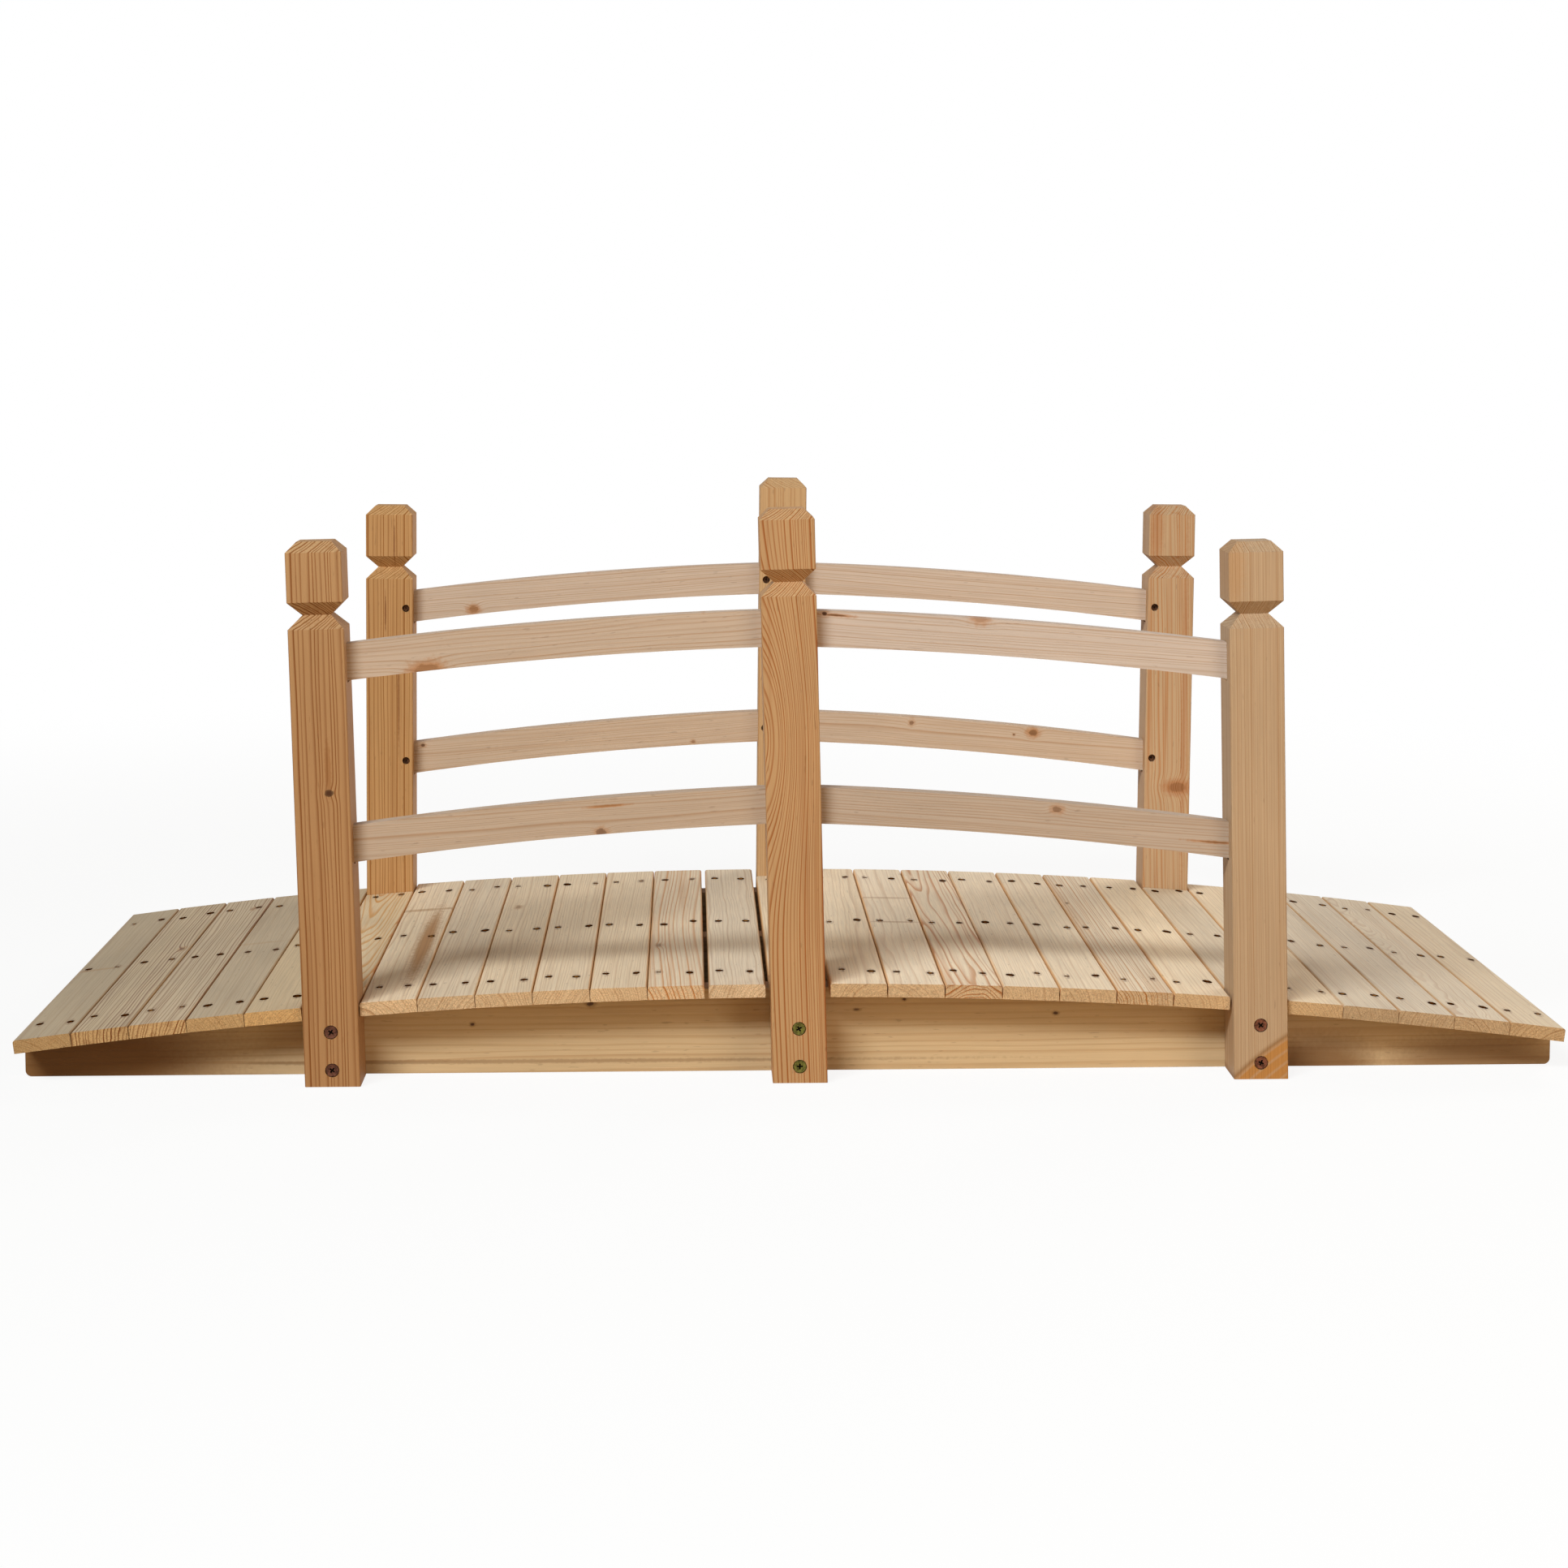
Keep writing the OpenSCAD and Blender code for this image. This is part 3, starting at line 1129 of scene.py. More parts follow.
@dataclass
class SunkNail:
    """A nail head driven below the crushed lip of its hole, in millimetres and degrees."""

    hole_radius: float = 4.2
    head_radius: float = 2.5
    sunk: float = 0.5
    lip: float = 0.14
    fall: float = 0.12
    dome: float = 0.1
    dome_rim: float = 0.3
    stretch: float = 1.45
    segments: int = 14
    smooth_angle: float = 30.0

    def model(self, hole: bpy.types.Material, head: bpy.types.Material) -> bpy.types.Object:
        """Models the nail with the board's face at the origin, looking along Z, and the grain along Y.

        Args:
            hole: Finish of the crushed wood in the pit, painted near black for the pit's shade as well.
            head: Finish of the head.

        Returns:
            The nail.
        """
        depth = (self.lip + self.sunk) * MM
        nail = Modeller.cylinder(self.segments, self.hole_radius * MM, self.lip * MM, depth)
        put_on(nail, hole, head)
        Modeller.edit(True)
        Modeller.pick_upper()
        bpy.ops.transform.resize(value=(1.0, self.stretch, 1.0))
        ring = (self.hole_radius - self.head_radius) * MM
        bpy.ops.mesh.inset(thickness=ring, depth=-self.fall * MM)
        bpy.ops.mesh.inset(thickness=self.head_radius * self.dome_rim * MM, depth=self.dome * MM)
        Modeller.assign(nail, 1)
        Modeller.edit(False)
        bpy.ops.object.shade_smooth_by_angle(angle=math.radians(self.smooth_angle))
        return nail


@dataclass
class Bridge:
    """Sizes that the pieces share with the part's source, in millimetres and degrees."""

    frame_width: float = 554.0
    beam_thickness: float = 30.0
    beam_crown: float = 82.5
    arch_radius: float = 5650.0
    board_seat: float = 0.05
    board_thickness: float = 13.0
    board_count: int = 27
    post_side: float = 53.0
    post_x: float = 448.05
    lean: dict[Side, float] = field(default_factory=lambda: {Side.FRONT: -1.45, Side.BACK: 0.45})

    @property
    def arch_centre(self) -> float:
        """Height of the middle of the deck's arch."""
        return self.beam_crown - self.arch_radius

    @property
    def deck_radius(self) -> float:
        """Radius of the arch that the boards' upper faces touch."""
        return self.arch_radius + self.board_seat + self.board_thickness

    def leaning(self, side: Side) -> float:
        """Gives the lean of a railing towards +X, in radians."""
        return math.radians(self.lean[side])


@dataclass
class Timber:
    """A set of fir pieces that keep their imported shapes.

    Attributes:
        bridge: Sizes that the pieces share.
        shop: Makes the materials.
        nodes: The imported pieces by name.
    """

    bridge: Bridge
    shop: Workshop
    nodes: dict[str, bpy.types.Object]

    def finish(self, name: str, wood: Wood, lie: Lie, nails: Sequence[Vector] = ()) -> None:
        """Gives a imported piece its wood, by how it lies and where nails go into it."""
        put_on(self.nodes[name], self.shop.fir(name, lie, wood, nails))
        LOG.info("dressed %s", name)


@dataclass
class Beams(Timber):
    """The three arched beams."""

    TONE = Tone(
        paint(201, 174, 136),
        paint(158, 112, 62),
        # This resin colour also colours the patches of painted shade on the front beam.
        resin=paint(106, 64, 16),
        end=(0.86, 0.76, 0.62),
        rings=0.38,
        fibre=0.1,
        streak=0.16,
        blotch=0.08,
    )
    WOODS = {
        "front_beam": Wood(
            Cut((58.0, 12.0), 6.6, waver=1.6, sway=900.0, slope=(0.004, 0.0), seed=3.0),
            TONE,
            (
                Knot((-316, -277, 48), 1.3),
                Knot((-201, -277, 68), 2.2, core=0.9),
                Knot((59, -277, 60), 1.0, stretch=2.4, core=0.7),
                Knot((106, -277, 70), 1.1, core=0.9),
                Knot((255, -277, 55), 1.3, stretch=1.6, core=0.9),
                Knot.stain((-290, -277, 11), 1.0, stretch=220.0, halo=0.45),
                # Painted shade: the next three dark patches stand for the shade under the deck's
                # overhanging left and right ends and beside the right end post, not for stains in the
                # wood.
                Knot.stain((-700, -277, 16), 26.0, stretch=3.0, halo=0.9),
                Knot.stain((680, -277, 2), 15.0, stretch=3.4, halo=0.65),
                Knot.stain((515, -277, 0), 16.0, stretch=2.0, halo=0.8),
            ),
        ),
        "middle_beam": Wood(
            Cut((-70.0, 20.0), 5.0, sway=800.0, seed=11.0),
            TONE,
            (Knot((-120, 0, 40), 4.0, core=0.7), Knot((310, 0, 30), 3.0, core=0.7)),
        ),
        "back_beam": Wood(
            Cut((-40.0, -36.0), 5.6, sway=850.0, seed=17.0),
            TONE,
            (Knot((180, 277, 38), 3.5, core=0.7), Knot((-430, 277, 30), 2.5, core=0.7)),
        ),
    }

    def dress(self) -> None:
        """Gives each beam its wood."""
        for name, wood in self.WOODS.items():
            self.finish(name, wood, Lie.of(name, Grain.ALONG, 0.0))


@dataclass
class Posts(Timber):
    """The six square posts."""

    TAN = Tone(
        paint(197, 152, 104),
        paint(160, 96, 46),
        # Painted light: this end tint lightens and cools the end grain on the posts' heads, bevels and
        # groove slopes, which face up into the light.
        end=(1.1, 1.2, 1.32),
        rings=1.0,
        fibre=0.12,
        streak=0.3,
        blotch=0.1,
    )
    PALE = Tone(
        paint(198, 164, 127),
        paint(164, 112, 64),
        end=(1.0, 1.04, 1.1),
        rings=0.6,
        fibre=0.12,
        streak=0.22,
        blotch=0.08,
    )
    WOODS = {
        "front_left_post": Wood(
            Cut((-90, 90), 2.7, waver=1.0, sway=520.0, seed=1.0),
            replace(
                TAN.lit(0.9, -0.02), late=paint(134, 80, 36), resin=paint(140, 82, 32), rings=1.25
            ),
            (
                Knot((-446, -330, 284), 3.8, stretch=0.85, halo=0.3, push=0.4),
                Knot.stain((-447, -330, 306), 2.0, stretch=9.0, halo=0.6),
                Knot.stain((-446, -330, 140), 62.0, stretch=3.4, halo=0.3, fade=1.6),
            ),
        ),
        "front_centre_post": Wood(
            Cut((-46, 38), 1.9, waver=0.16, sway=600.0, slope=(0.0, -0.01), seed=5.0),
            replace(TAN.lit(0.905, -0.03), late=paint(152, 90, 44), rings=1.35),
            (Knot.swirl((-32, -330, 338), 16.0, stretch=2.8, push=-1.35),),
        ),
        "front_right_post": Wood(
            Cut((130, 30), 2.0, waver=0.8, sway=700.0, seed=8.0),
            replace(PALE.lit(0.84, -0.03), resin=paint(180, 122, 58)),
            (
                Knot.stain((638, -330, -212), 373.0, stretch=1.0, halo=0.9, fade=0.024, layers=0.5),
                Knot.stain((416, -330, 500), 5.0, stretch=4.5, halo=0.3),
            ),
        ),
        "back_left_post": Wood(
            Cut((-70, 70), 2.0, waver=0.9, sway=600.0, seed=13.0),
            replace(TAN.lit(0.915, 0.04), late=paint(142, 86, 34), resin=paint(112, 52, 18)),
            (
                Knot.stain((-436, 277, 300), 0.5, stretch=60.0, halo=0.6),
                Knot.stain((-450, 277, 402), 0.5, stretch=24.0, halo=0.7),
                Knot.stain((-439, 277, 480), 0.5, stretch=26.0, halo=0.6),
            ),
        ),
        "back_centre_post": Wood(
            Cut((60, 110), 2.0, waver=0.8, sway=600.0, seed=21.0),
            PALE.lit(0.93, 0.06),
        ),
        "back_right_post": Wood(
            Cut((-60, 44), 2.4, waver=1.2, sway=460.0, slope=(0.03, 0.0), seed=27.0),
            replace(
                PALE.lit(0.9, -0.01),
                late=paint(170, 102, 42),
                resin=paint(168, 98, 46),
                rings=0.85,
                streak=0.5,
            ),
            (
                Knot((461, 277, 197), 9.0, stretch=0.55, core=0.3, halo=0.7, push=0.5),
                Knot.stain((468, 277, 300), 1.6, stretch=60.0, halo=0.4),
                Knot.stain((434, 277, 494), 3.4, stretch=6.0, halo=0.4),
            ),
        ),
    }

    def dress(self) -> None:
        """Gives each post its wood, with the fibres along its lean."""
        for side in Side:
            for place in Place:
                name = f"{side.name}_{place.name}_post".lower()
                self.finish(name, self.WOODS[name], Lie.of(name, Grain.UP, self.bridge.leaning(side)))


@dataclass
class Rails(Timber):
    """The eight arched rails, each sawn from a board whose fibres run straight along its chord.

    Attributes:
        chord_fall: Slope of the chord towards the end posts, in radians.
    """

    chord_fall: float = 0.078

    TONE = Tone(
        paint(200, 173, 147),
        paint(172, 128, 88),
        end=(0.9, 0.8, 0.68),
        rings=0.68,
        fibre=0.13,
        streak=0.26,
        blotch=0.08,
    )
    SHADELESS = ("front_left_top_rail", "front_right_top_rail")
    WOODS = {
        "front_left_top_rail": Wood(
            Cut((60, 20), 3.6, waver=3.5, seed=2.0),
            TONE.lit(0.95, -0.04),
            (
                Knot((-354, -313, 400), 5.0, stretch=2.0, core=0.3, halo=0.8, push=1.0),
                Knot((-91, -313, 456), 1.2),
            ),
        ),
        "front_left_lower_rail": Wood(
            Cut((70, 10), 3.0, waver=3.0, sway=300.0, seed=4.0),
            TONE.lit(0.9, -0.03),
            (
                Knot((-189, -313, 243), 2.8, stretch=1.5, core=0.6),
                Knot((-183, -313, 268), 0.7, stretch=16.0, core=0.2, halo=0.8, push=0.0),
                Knot((-8, -313, 262), 0.9),
                Knot((-28, -313, 251), 0.9),
            ),
        ),
        "front_right_top_rail": Wood(
            Cut((90, 60), 2.6, sway=400.0, seed=6.0),
            TONE.lit(1.08, -0.1),
            (
                Knot((36, -313, 451.5), 0.9, stretch=11.0, core=0.7, halo=0.8, push=0.5),
                Knot((25, -313, 453), 1.8, stretch=1.4, push=0.5),
                Knot((175, -313, 449), 4.2, stretch=1.4, core=0.15, halo=0.6, push=1.0),
            ),
        ),
        "front_right_lower_rail": Wood(
            Cut((-80, 30), 2.8, waver=2.4, sway=340.0, seed=9.0),
            TONE.lit(0.84, -0.05),
            (
                Knot((250, -313, 263), 2.6, stretch=1.5, core=0.5),
                Knot((404, -313, 230), 0.7, stretch=20.0, core=0.5, halo=0.8, push=0.0),
            ),
        ),
        "back_left_top_rail": Wood(
            Cut((90, 40), 2.4, sway=400.0, seed=12.0),
            TONE.lit(1.08, -0.06),
            (
                Knot((-351, 293, 404), 3.4, core=0.3, halo=0.8),
                Knot((-219, 293, 448), 1.6, core=0.6),
            ),
        ),
        "back_left_lower_rail": Wood(
            Cut((-70, 20), 3.0, waver=2.6, sway=300.0, seed=14.0),
            TONE.lit(1.02, -0.02),
            (Knot((-410, 293, 247), 1.6, core=0.8), Knot((-100, 293, 250), 1.4, core=0.4)),
        ),
        "back_right_top_rail": Wood(
            Cut((100, 50), 2.2, waver=1.6, sway=420.0, seed=16.0),
            TONE.lit(1.12, -0.07),
        ),
        "back_right_lower_rail": Wood(
            Cut((66, 20), 3.2, waver=3.0, sway=280.0, seed=18.0),
            TONE.lit(1.02, -0.03),
            (
                Knot((153, 293, 271), 2.2, stretch=1.0, core=0.5),
                Knot((294, 293, 259), 3.2, stretch=1.4, core=0.55, halo=0.8),
                Knot((272, 293, 257), 0.9, core=0.7),
            ),
        ),
    }

    def dress(self) -> None:
        """Gives each rail its wood."""
        for name, wood in self.WOODS.items():
            fall = self.chord_fall if "_right_" in name else -self.chord_fall
            self.finish(name, wood, Lie.of(name, Grain.ALONG, fall))
            self.nodes[name].visible_shadow = name not in self.SHADELESS


@dataclass
class Deck(Timber):
    """The boards of the deck and the nails that hold them to the three beams.

    Lengths are in millimetres, and boards are counted from the left. A pair of numbers is a range to draw
    from: the fields from pith_aside to warmth say how boards with no cut of their own were sawn and how
    the colours of all boards stray, and those from nail_size to nail_spin how the nails differ.
    """

    nail_spread: float = 15.0
    row_scatter: float = 8.0
    side_scatter: float = 2.5
    pattern_seed: int = 27
    board_seed: float = 60.0
    pith_aside: Range = (30.0, 90.0)
    pith_below: Range = (10.0, 60.0)
    ring_width: Range = (2.2, 3.6)
    waver: Range = (1.0, 3.0)
    sway: Range = (180.0, 420.0)
    drift: Range = (-0.02, 0.02)
    gain: Range = (0.94, 1.06)
    warmth: Range = (-0.02, 0.03)
    nail_size: Range = (0.8, 1.08)
    nail_length: Range = (0.75, 1.1)
    nail_spin: Range = (-24.0, 24.0)
    nail_shares: tuple[float, float, float] = (0.58, 0.26, 0.16)
    spots: dict[int, list[Vector]] = field(default_factory=dict)

    TONE = Tone(
        paint(233, 214, 188),
        paint(172, 122, 70),
        resin=paint(164, 108, 44),
        end=(0.8, 0.67, 0.53),
        edge=(0.86, 0.64, 0.42),
        fibre=0.22,
        streak=0.16,
        end_rings=1.2,
        gloss=0.1,
    )
    # Painted light: these gains darken the boards of the left end and the left bay, standing for the
    # shade that falls there, and lighten the right bay and the right end, where more light falls.
    LEFT_END = {1: 0.53, 2: 0.64, 3: 0.67, 4: 0.62, 5: 0.66, 6: 0.9}
    LEFT_BAY = {8: 0.93, 9: 0.93, 10: 0.93, 11: 0.95}
    RIGHT_BAY = {14: 1.06, 15: 1.08, 16: 1.1, 17: 1.1, 18: 1.12, 19: 1.1, 20: 1.04, 21: 1.06}
    RIGHT_END = {22: 0.95, 23: 0.95, 24: 0.92, 25: 0.92, 26: 0.88, 27: 0.86}
    RIGHT = RIGHT_BAY | RIGHT_END
    PAINTED_LIGHT_GAINS = LEFT_END | LEFT_BAY | RIGHT
    LEFT_END_WARMTH = 0.05
    LEFT_END_GRAIN = (0.96, 0.75, 0.5)
    RIGHT_GRAIN = (0.62, 0.5, 0.37)
    PALE_EDGED = (4, 8, 15, 18, 24)
    PALE_EDGE = (1.0, 0.88, 0.72)
    FAINT = (1, 4, 5, 14, 15, 16, 18, 19, 21, 22, 23, 24)
    FAINT_RINGS = 0.35
    STRONG_RINGS = 0.95
    STRONG_STREAK = 0.3
    STRONG = {
        2: paint(108, 56, 18),
        3: paint(120, 70, 28),
        6: paint(204, 140, 60),
        12: paint(192, 128, 64),
        17: paint(188, 118, 52),
        20: paint(190, 132, 72),
    }
    CUTS = {
        2: Cut((60, 12), 3.4, sway=520.0, seed=40.0),
        3: Cut((70, 20), 3.4, waver=3.0, sway=420.0, seed=41.0),
        6: Cut((-4, 22), 3.0, waver=2.6, sway=300.0, slope=(0.01, 0.05), seed=42.0),
        12: Cut((-60, 20), 4.2, waver=0.6, sway=900.0, seed=43.0),
        17: Cut((-10, 22), 3.4, waver=4.2, sway=380.0, slope=(0.03, 0.01), seed=44.0),
        19: Cut((-60, 30), 4.0, waver=3.0, sway=460.0, seed=45.0),
        20: Cut((-46, 14), 3.2, sway=480.0, seed=46.0),
        26: Cut((-20, 17), 2.2, waver=2.6, sway=70.0, slope=(0.0, 0.02), seed=47.0),
    }
    KNOTS = {
        1: (Knot.stain((-736, -4, 45), 17.0, stretch=0.16, halo=0.3),),
        2: (Knot((-650, 57, 58), 2.4, stretch=3.0, core=0.6),),
        3: (Knot((-602, 261, 63), 1.6, stretch=4.0, core=0.3),),
        4: (Knot.stain((-565, 39, 68), 16.0, stretch=0.16, halo=0.2),),
        7: (
            Knot.stain((-381, -40, 83), 4.5, stretch=22.0, halo=0.8),
            Knot.stain((-390, 150, 81), 22.0, stretch=0.18, halo=0.5),
        ),
        9: (Knot((-293, 130, 88), 2.4, stretch=3.0, core=0.35),),
        12: (
            Knot.swirl((-110, -10, 94), 30.0, stretch=3.2, push=0.3),
            Knot((-136, -120, 94), 2.2, stretch=3.0, core=0.4),
        ),
        16: (
            Knot.stain((112, 139, 94), 17.0, stretch=0.16, halo=0.4),
            Knot.stain((114, -3, 95), 14.0, stretch=0.14, halo=0.5),
        ),
        19: (Knot.stain((252, 120, 91), 0.9, stretch=60.0, halo=0.6),),
        20: (Knot((317, 142, 87), 1.2, stretch=3.0, core=0.8),),
    }
    ROWS = ("front", "middle", "back")
    BROAD_NAIL = SunkNail(head_radius=2.9, stretch=1.3)
    SMALL_NAIL = SunkNail(hole_radius=3.2, head_radius=2.0, stretch=1.2)
    # Partly painted shade: the pit around each nail head is crushed wood, painted near black for the
    # shade in the pit.
    NAIL_HOLE = Metal(paint(42, 17, 0), paint(66, 31, 2), 0.6)
    DARK_HEAD = Metal(paint(100, 52, 10), paint(50, 22, 0), 0.9)
    PALE_HEAD = Metal(paint(156, 104, 48), paint(108, 60, 14), 0.8)

    @staticmethod
    def name(number: int) -> str:
        """Gives the node's name of a board."""
        return f"deck_board_{number:02d}"

    @property
    def numbers(self) -> range:
        """The numbers of the boards."""
        return range(1, self.bridge.board_count + 1)

    def tilt(self, number: int) -> float:
        """Gives the turn of a board about Y, in radians.

        Args:
            number: Number of the board.

        Returns:
            The turn.
        """
        low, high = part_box(self.name(number))
        radius = (self.bridge.deck_radius - self.bridge.board_thickness / 2) * MM
        return math.asin((low.x + high.x) / 2 / radius)

    def on_top(self, number: int, across: float, along: float) -> Vector:
        """Gives a point on the upper face of a board.

        Args:
            number: Number of the board.
            across: Distance from its middle line, in millimetres.
            along: Place along Y, in millimetres.

        Returns:
            The point in metres.
        """
        turn = self.tilt(number)
        radius = self.bridge.deck_radius
        x = radius * math.sin(turn) + across * math.cos(turn)
        z = self.bridge.arch_centre + radius * math.cos(turn) - across * math.sin(turn)
        return Vector((x, along, z)) * MM

    def drive_nails(self, draw: random.Random) -> None:
        """Chooses where the nails go: two in each board over each beam.

        Args:
            draw: Source of the scatter.
        """
        row = self.bridge.frame_width / 2 - self.bridge.beam_thickness / 2
        for number in self.numbers:
            self.spots[number] = []
            for along in (-row, 0.0, row):
                for hand in (-1, 1):
                    across = hand * self.nail_spread + draw.uniform(-self.side_scatter, self.side_scatter)
                    place = along + draw.uniform(-self.row_scatter, self.row_scatter)
                    self.spots[number].append(self.on_top(number, across, place))

    def _plain_cut(self, number: int, draw: random.Random) -> Cut:
        """Draws how a board was sawn.

        Args:
            number: Number of the board.
            draw: Source of the scatter.

        Returns:
            The cut.
        """
        hand = draw.choice((-1, 1))
        return Cut(
            (hand * draw.uniform(*self.pith_aside), draw.uniform(*self.pith_below)),
            draw.uniform(*self.ring_width),
            waver=draw.uniform(*self.waver),
            sway=draw.uniform(*self.sway),
            slope=(draw.uniform(*self.drift), 0.0),
            seed=self.board_seed + number,
        )

    def _tone(self, number: int, draw: random.Random) -> Tone:
        """Draws the colours of a board.

        Args:
            number: Number of the board.
            draw: Source of the scatter.

        Returns:
            The colours.
        """
        # Painted light across the deck, times each board's own drawn tone.
        gain = self.PAINTED_LIGHT_GAINS.get(number, 1.0) * draw.uniform(*self.gain)
        warm = draw.uniform(*self.warmth)
        own: dict[str, Colour | float] = {}
        if number in self.LEFT_END:
            warm += self.LEFT_END_WARMTH
            own["end"] = self.LEFT_END_GRAIN
        elif number in self.RIGHT:
            own["end"] = self.RIGHT_GRAIN
        if number in self.PALE_EDGED:
            own["edge"] = self.PALE_EDGE
        if number in self.STRONG:
            own |= {"late": self.STRONG[number], "rings": self.STRONG_RINGS, "streak": self.STRONG_STREAK}
        elif number in self.FAINT:
            own["rings"] = self.FAINT_RINGS
        return replace(self.TONE.lit(gain, warm), **own)

    def dress(self) -> None:
        """Gives each board its wood, darker around its nails."""
        draw = random.Random(self.pattern_seed)
        self.drive_nails(draw)
        for number in self.numbers:
            name = self.name(number)
            plain = self._plain_cut(number, draw)
            tone = self._tone(number, draw)
            wood = Wood(self.CUTS.get(number, plain), tone, self.KNOTS.get(number, ()))
            self.finish(name, wood, Lie.of(name, Grain.ACROSS, self.tilt(number)), self.spots[number])

    def nail_down(self) -> None:
        """Models the nails, in one piece for each beam."""
        draw = random.Random(self.pattern_seed + 1)
        hole = self.shop.metal("nail_hole", self.NAIL_HOLE)
        dark = self.shop.metal("nail_head_dark", self.DARK_HEAD)
        pale = self.shop.metal("nail_head_pale", self.PALE_HEAD)
        patterns = (
            SunkNail().model(hole, dark),
            self.BROAD_NAIL.model(hole, pale),
            self.SMALL_NAIL.model(hole, pale),
        )
        rows: dict[str, list[Placed]] = {row: [] for row in self.ROWS}
        for number, spots in self.spots.items():
            lean = Matrix.Rotation(self.tilt(number), 4, "Y")
            for index, spot in enumerate(spots):
                size = draw.uniform(*self.nail_size)
                spin = Matrix.Rotation(math.radians(draw.uniform(*self.nail_spin)), 4, "Z")
                grow = Matrix.Diagonal((size, size * draw.uniform(*self.nail_length), 1.0, 1.0))
                pattern = draw.choices(patterns, self.nail_shares)[0]
                place = Matrix.Translation(spot) @ lean @ spin @ grow
                rows[self.ROWS[index // 2]].append((pattern, place))
        for row, placed in rows.items():
            Modeller.spread(placed, row + "_row_nails")
        Modeller.retire(*patterns)


@dataclass
class Fasteners:
    """The screws through the posts and the pins that hold the rails, in millimetres."""

    bridge: Bridge
    shop: Workshop
    screw_heights: tuple[float, float] = (16.0, 53.0)
    screw_sunk: float = 0.45
    screw_seed: int = 6
    rail_height: float = 35.0
    rail_radius: float = 4000.0
    top_rail_down: float = 98.0
    end_post: float = 523.0
    centre_post: float = 554.0
    lower_drop_end: float = 175.0
    lower_drop_centre: float = 171.0
    pin_inset: float = 8.0
    pin_sunk: float = 3.2
    pin_seed: int = 16

    SCREWS = {
        Place.LEFT: Metal(paint(106, 66, 50), paint(48, 30, 24), 0.7, 0.35),
        Place.CENTRE: Metal(paint(112, 108, 48), paint(58, 52, 26), 0.7, 0.35),
        Place.RIGHT: Metal(paint(124, 74, 52), paint(54, 30, 22), 0.7, 0.35),
    }
    PIN_HEAD = CrossHeadScrew(
        radius=3.8,
        height=4.6,
        rim=0.5,
        dish=0.2,
        recess_length=3.8,
        recess_width=1.1,
        recess_depth=1.3,
    )
    PIN = Metal(paint(92, 60, 40), paint(30, 19, 12), 0.85, 0.2)
    # Painted shade: near-black metal in the cross recesses of the screws and pins, standing for the shade
    # inside them.
    RECESS_SHADE = Metal(paint(30, 22, 14), paint(16, 11, 7), 0.6, 0.1)

    @staticmethod
    def face_out(point: Vector, outward: Vector, draw: random.Random) -> Matrix:
        """Gives the place of a screw whose head looks out of a face.

        Args:
            point: Where its head sits, in millimetres.
            outward: Direction that the head looks in.
            draw: Source of its turn about that direction.

        Returns:
            The place.
        """
        turn = outward.to_track_quat("Z", "Y").to_matrix().to_4x4()
        spin = Matrix.Rotation(draw.uniform(0, math.pi), 4, "Z")
        return Matrix.Translation(point * MM) @ turn @ spin

    def lean_shift(self, side: Side, height: float) -> float:
        """Gives how far the lean of a railing carries a point at a height along X, in millimetres."""
        return math.tan(self.bridge.leaning(side)) * (height - self.bridge.beam_crown)

    def screw_posts(self) -> None:
        """Puts two screws into the outer face of each post."""
        draw = random.Random(self.screw_seed)
        recess = self.shop.metal("screw_recess", self.RECESS_SHADE)
        outer = self.bridge.frame_width / 2 + self.bridge.post_side
        for place, finish in self.SCREWS.items():
            zinc = self.shop.metal(f"{place.name}_screw_zinc".lower(), finish)
            pattern = CrossHeadScrew().model(zinc, recess)
            for side in Side:
                placed = []
                for height in self.screw_heights:
                    x = place.value * self.bridge.post_x + self.lean_shift(side, height)
                    point = Vector((x, side.value * (outer - self.screw_sunk), height))
                    placed.append((pattern, self.face_out(point, Vector((0, side.value, 0)), draw)))
                Modeller.spread(placed, f"{side.name}_{place.name}_post_screws".lower())
            Modeller.retire(pattern)

    @property
    def bay(self) -> Range:
        """Where the right bay starts and ends along X."""
        half = self.bridge.post_side / 2
        return half, self.bridge.post_x - half

    def rail_ends(self, level: Level) -> Range:
        """Gives the heights of a rail's upper edge at the centre post and at the end post.

        Args:
            level: Top or lower rail.

        Returns:
            The two heights.
        """
        lower = level is Level.LOWER
        inner = self.centre_post - self.top_rail_down - lower * self.lower_drop_centre
        outer = self.end_post - self.top_rail_down - lower * self.lower_drop_end
        return inner, outer

    def rail_line(self, level: Level, x: float) -> float:
        """Gives the height of the middle of a rail of the right bay.

        Args:
            level: Top or lower rail.
            x: Place along the bay.

        Returns:
            The height.
        """
        inner, outer = (Vector(end) for end in zip(self.bay, self.rail_ends(level)))
        chord = outer - inner
        up = Vector((-chord.y, chord.x)).normalized()
        rise = math.sqrt(self.rail_radius**2 - (chord.length / 2) ** 2)
        centre = inner + chord / 2 - up * rise
        middle = self.rail_radius - self.rail_height / 2
        return centre.y + math.sqrt(middle**2 - (x - centre.x) ** 2)

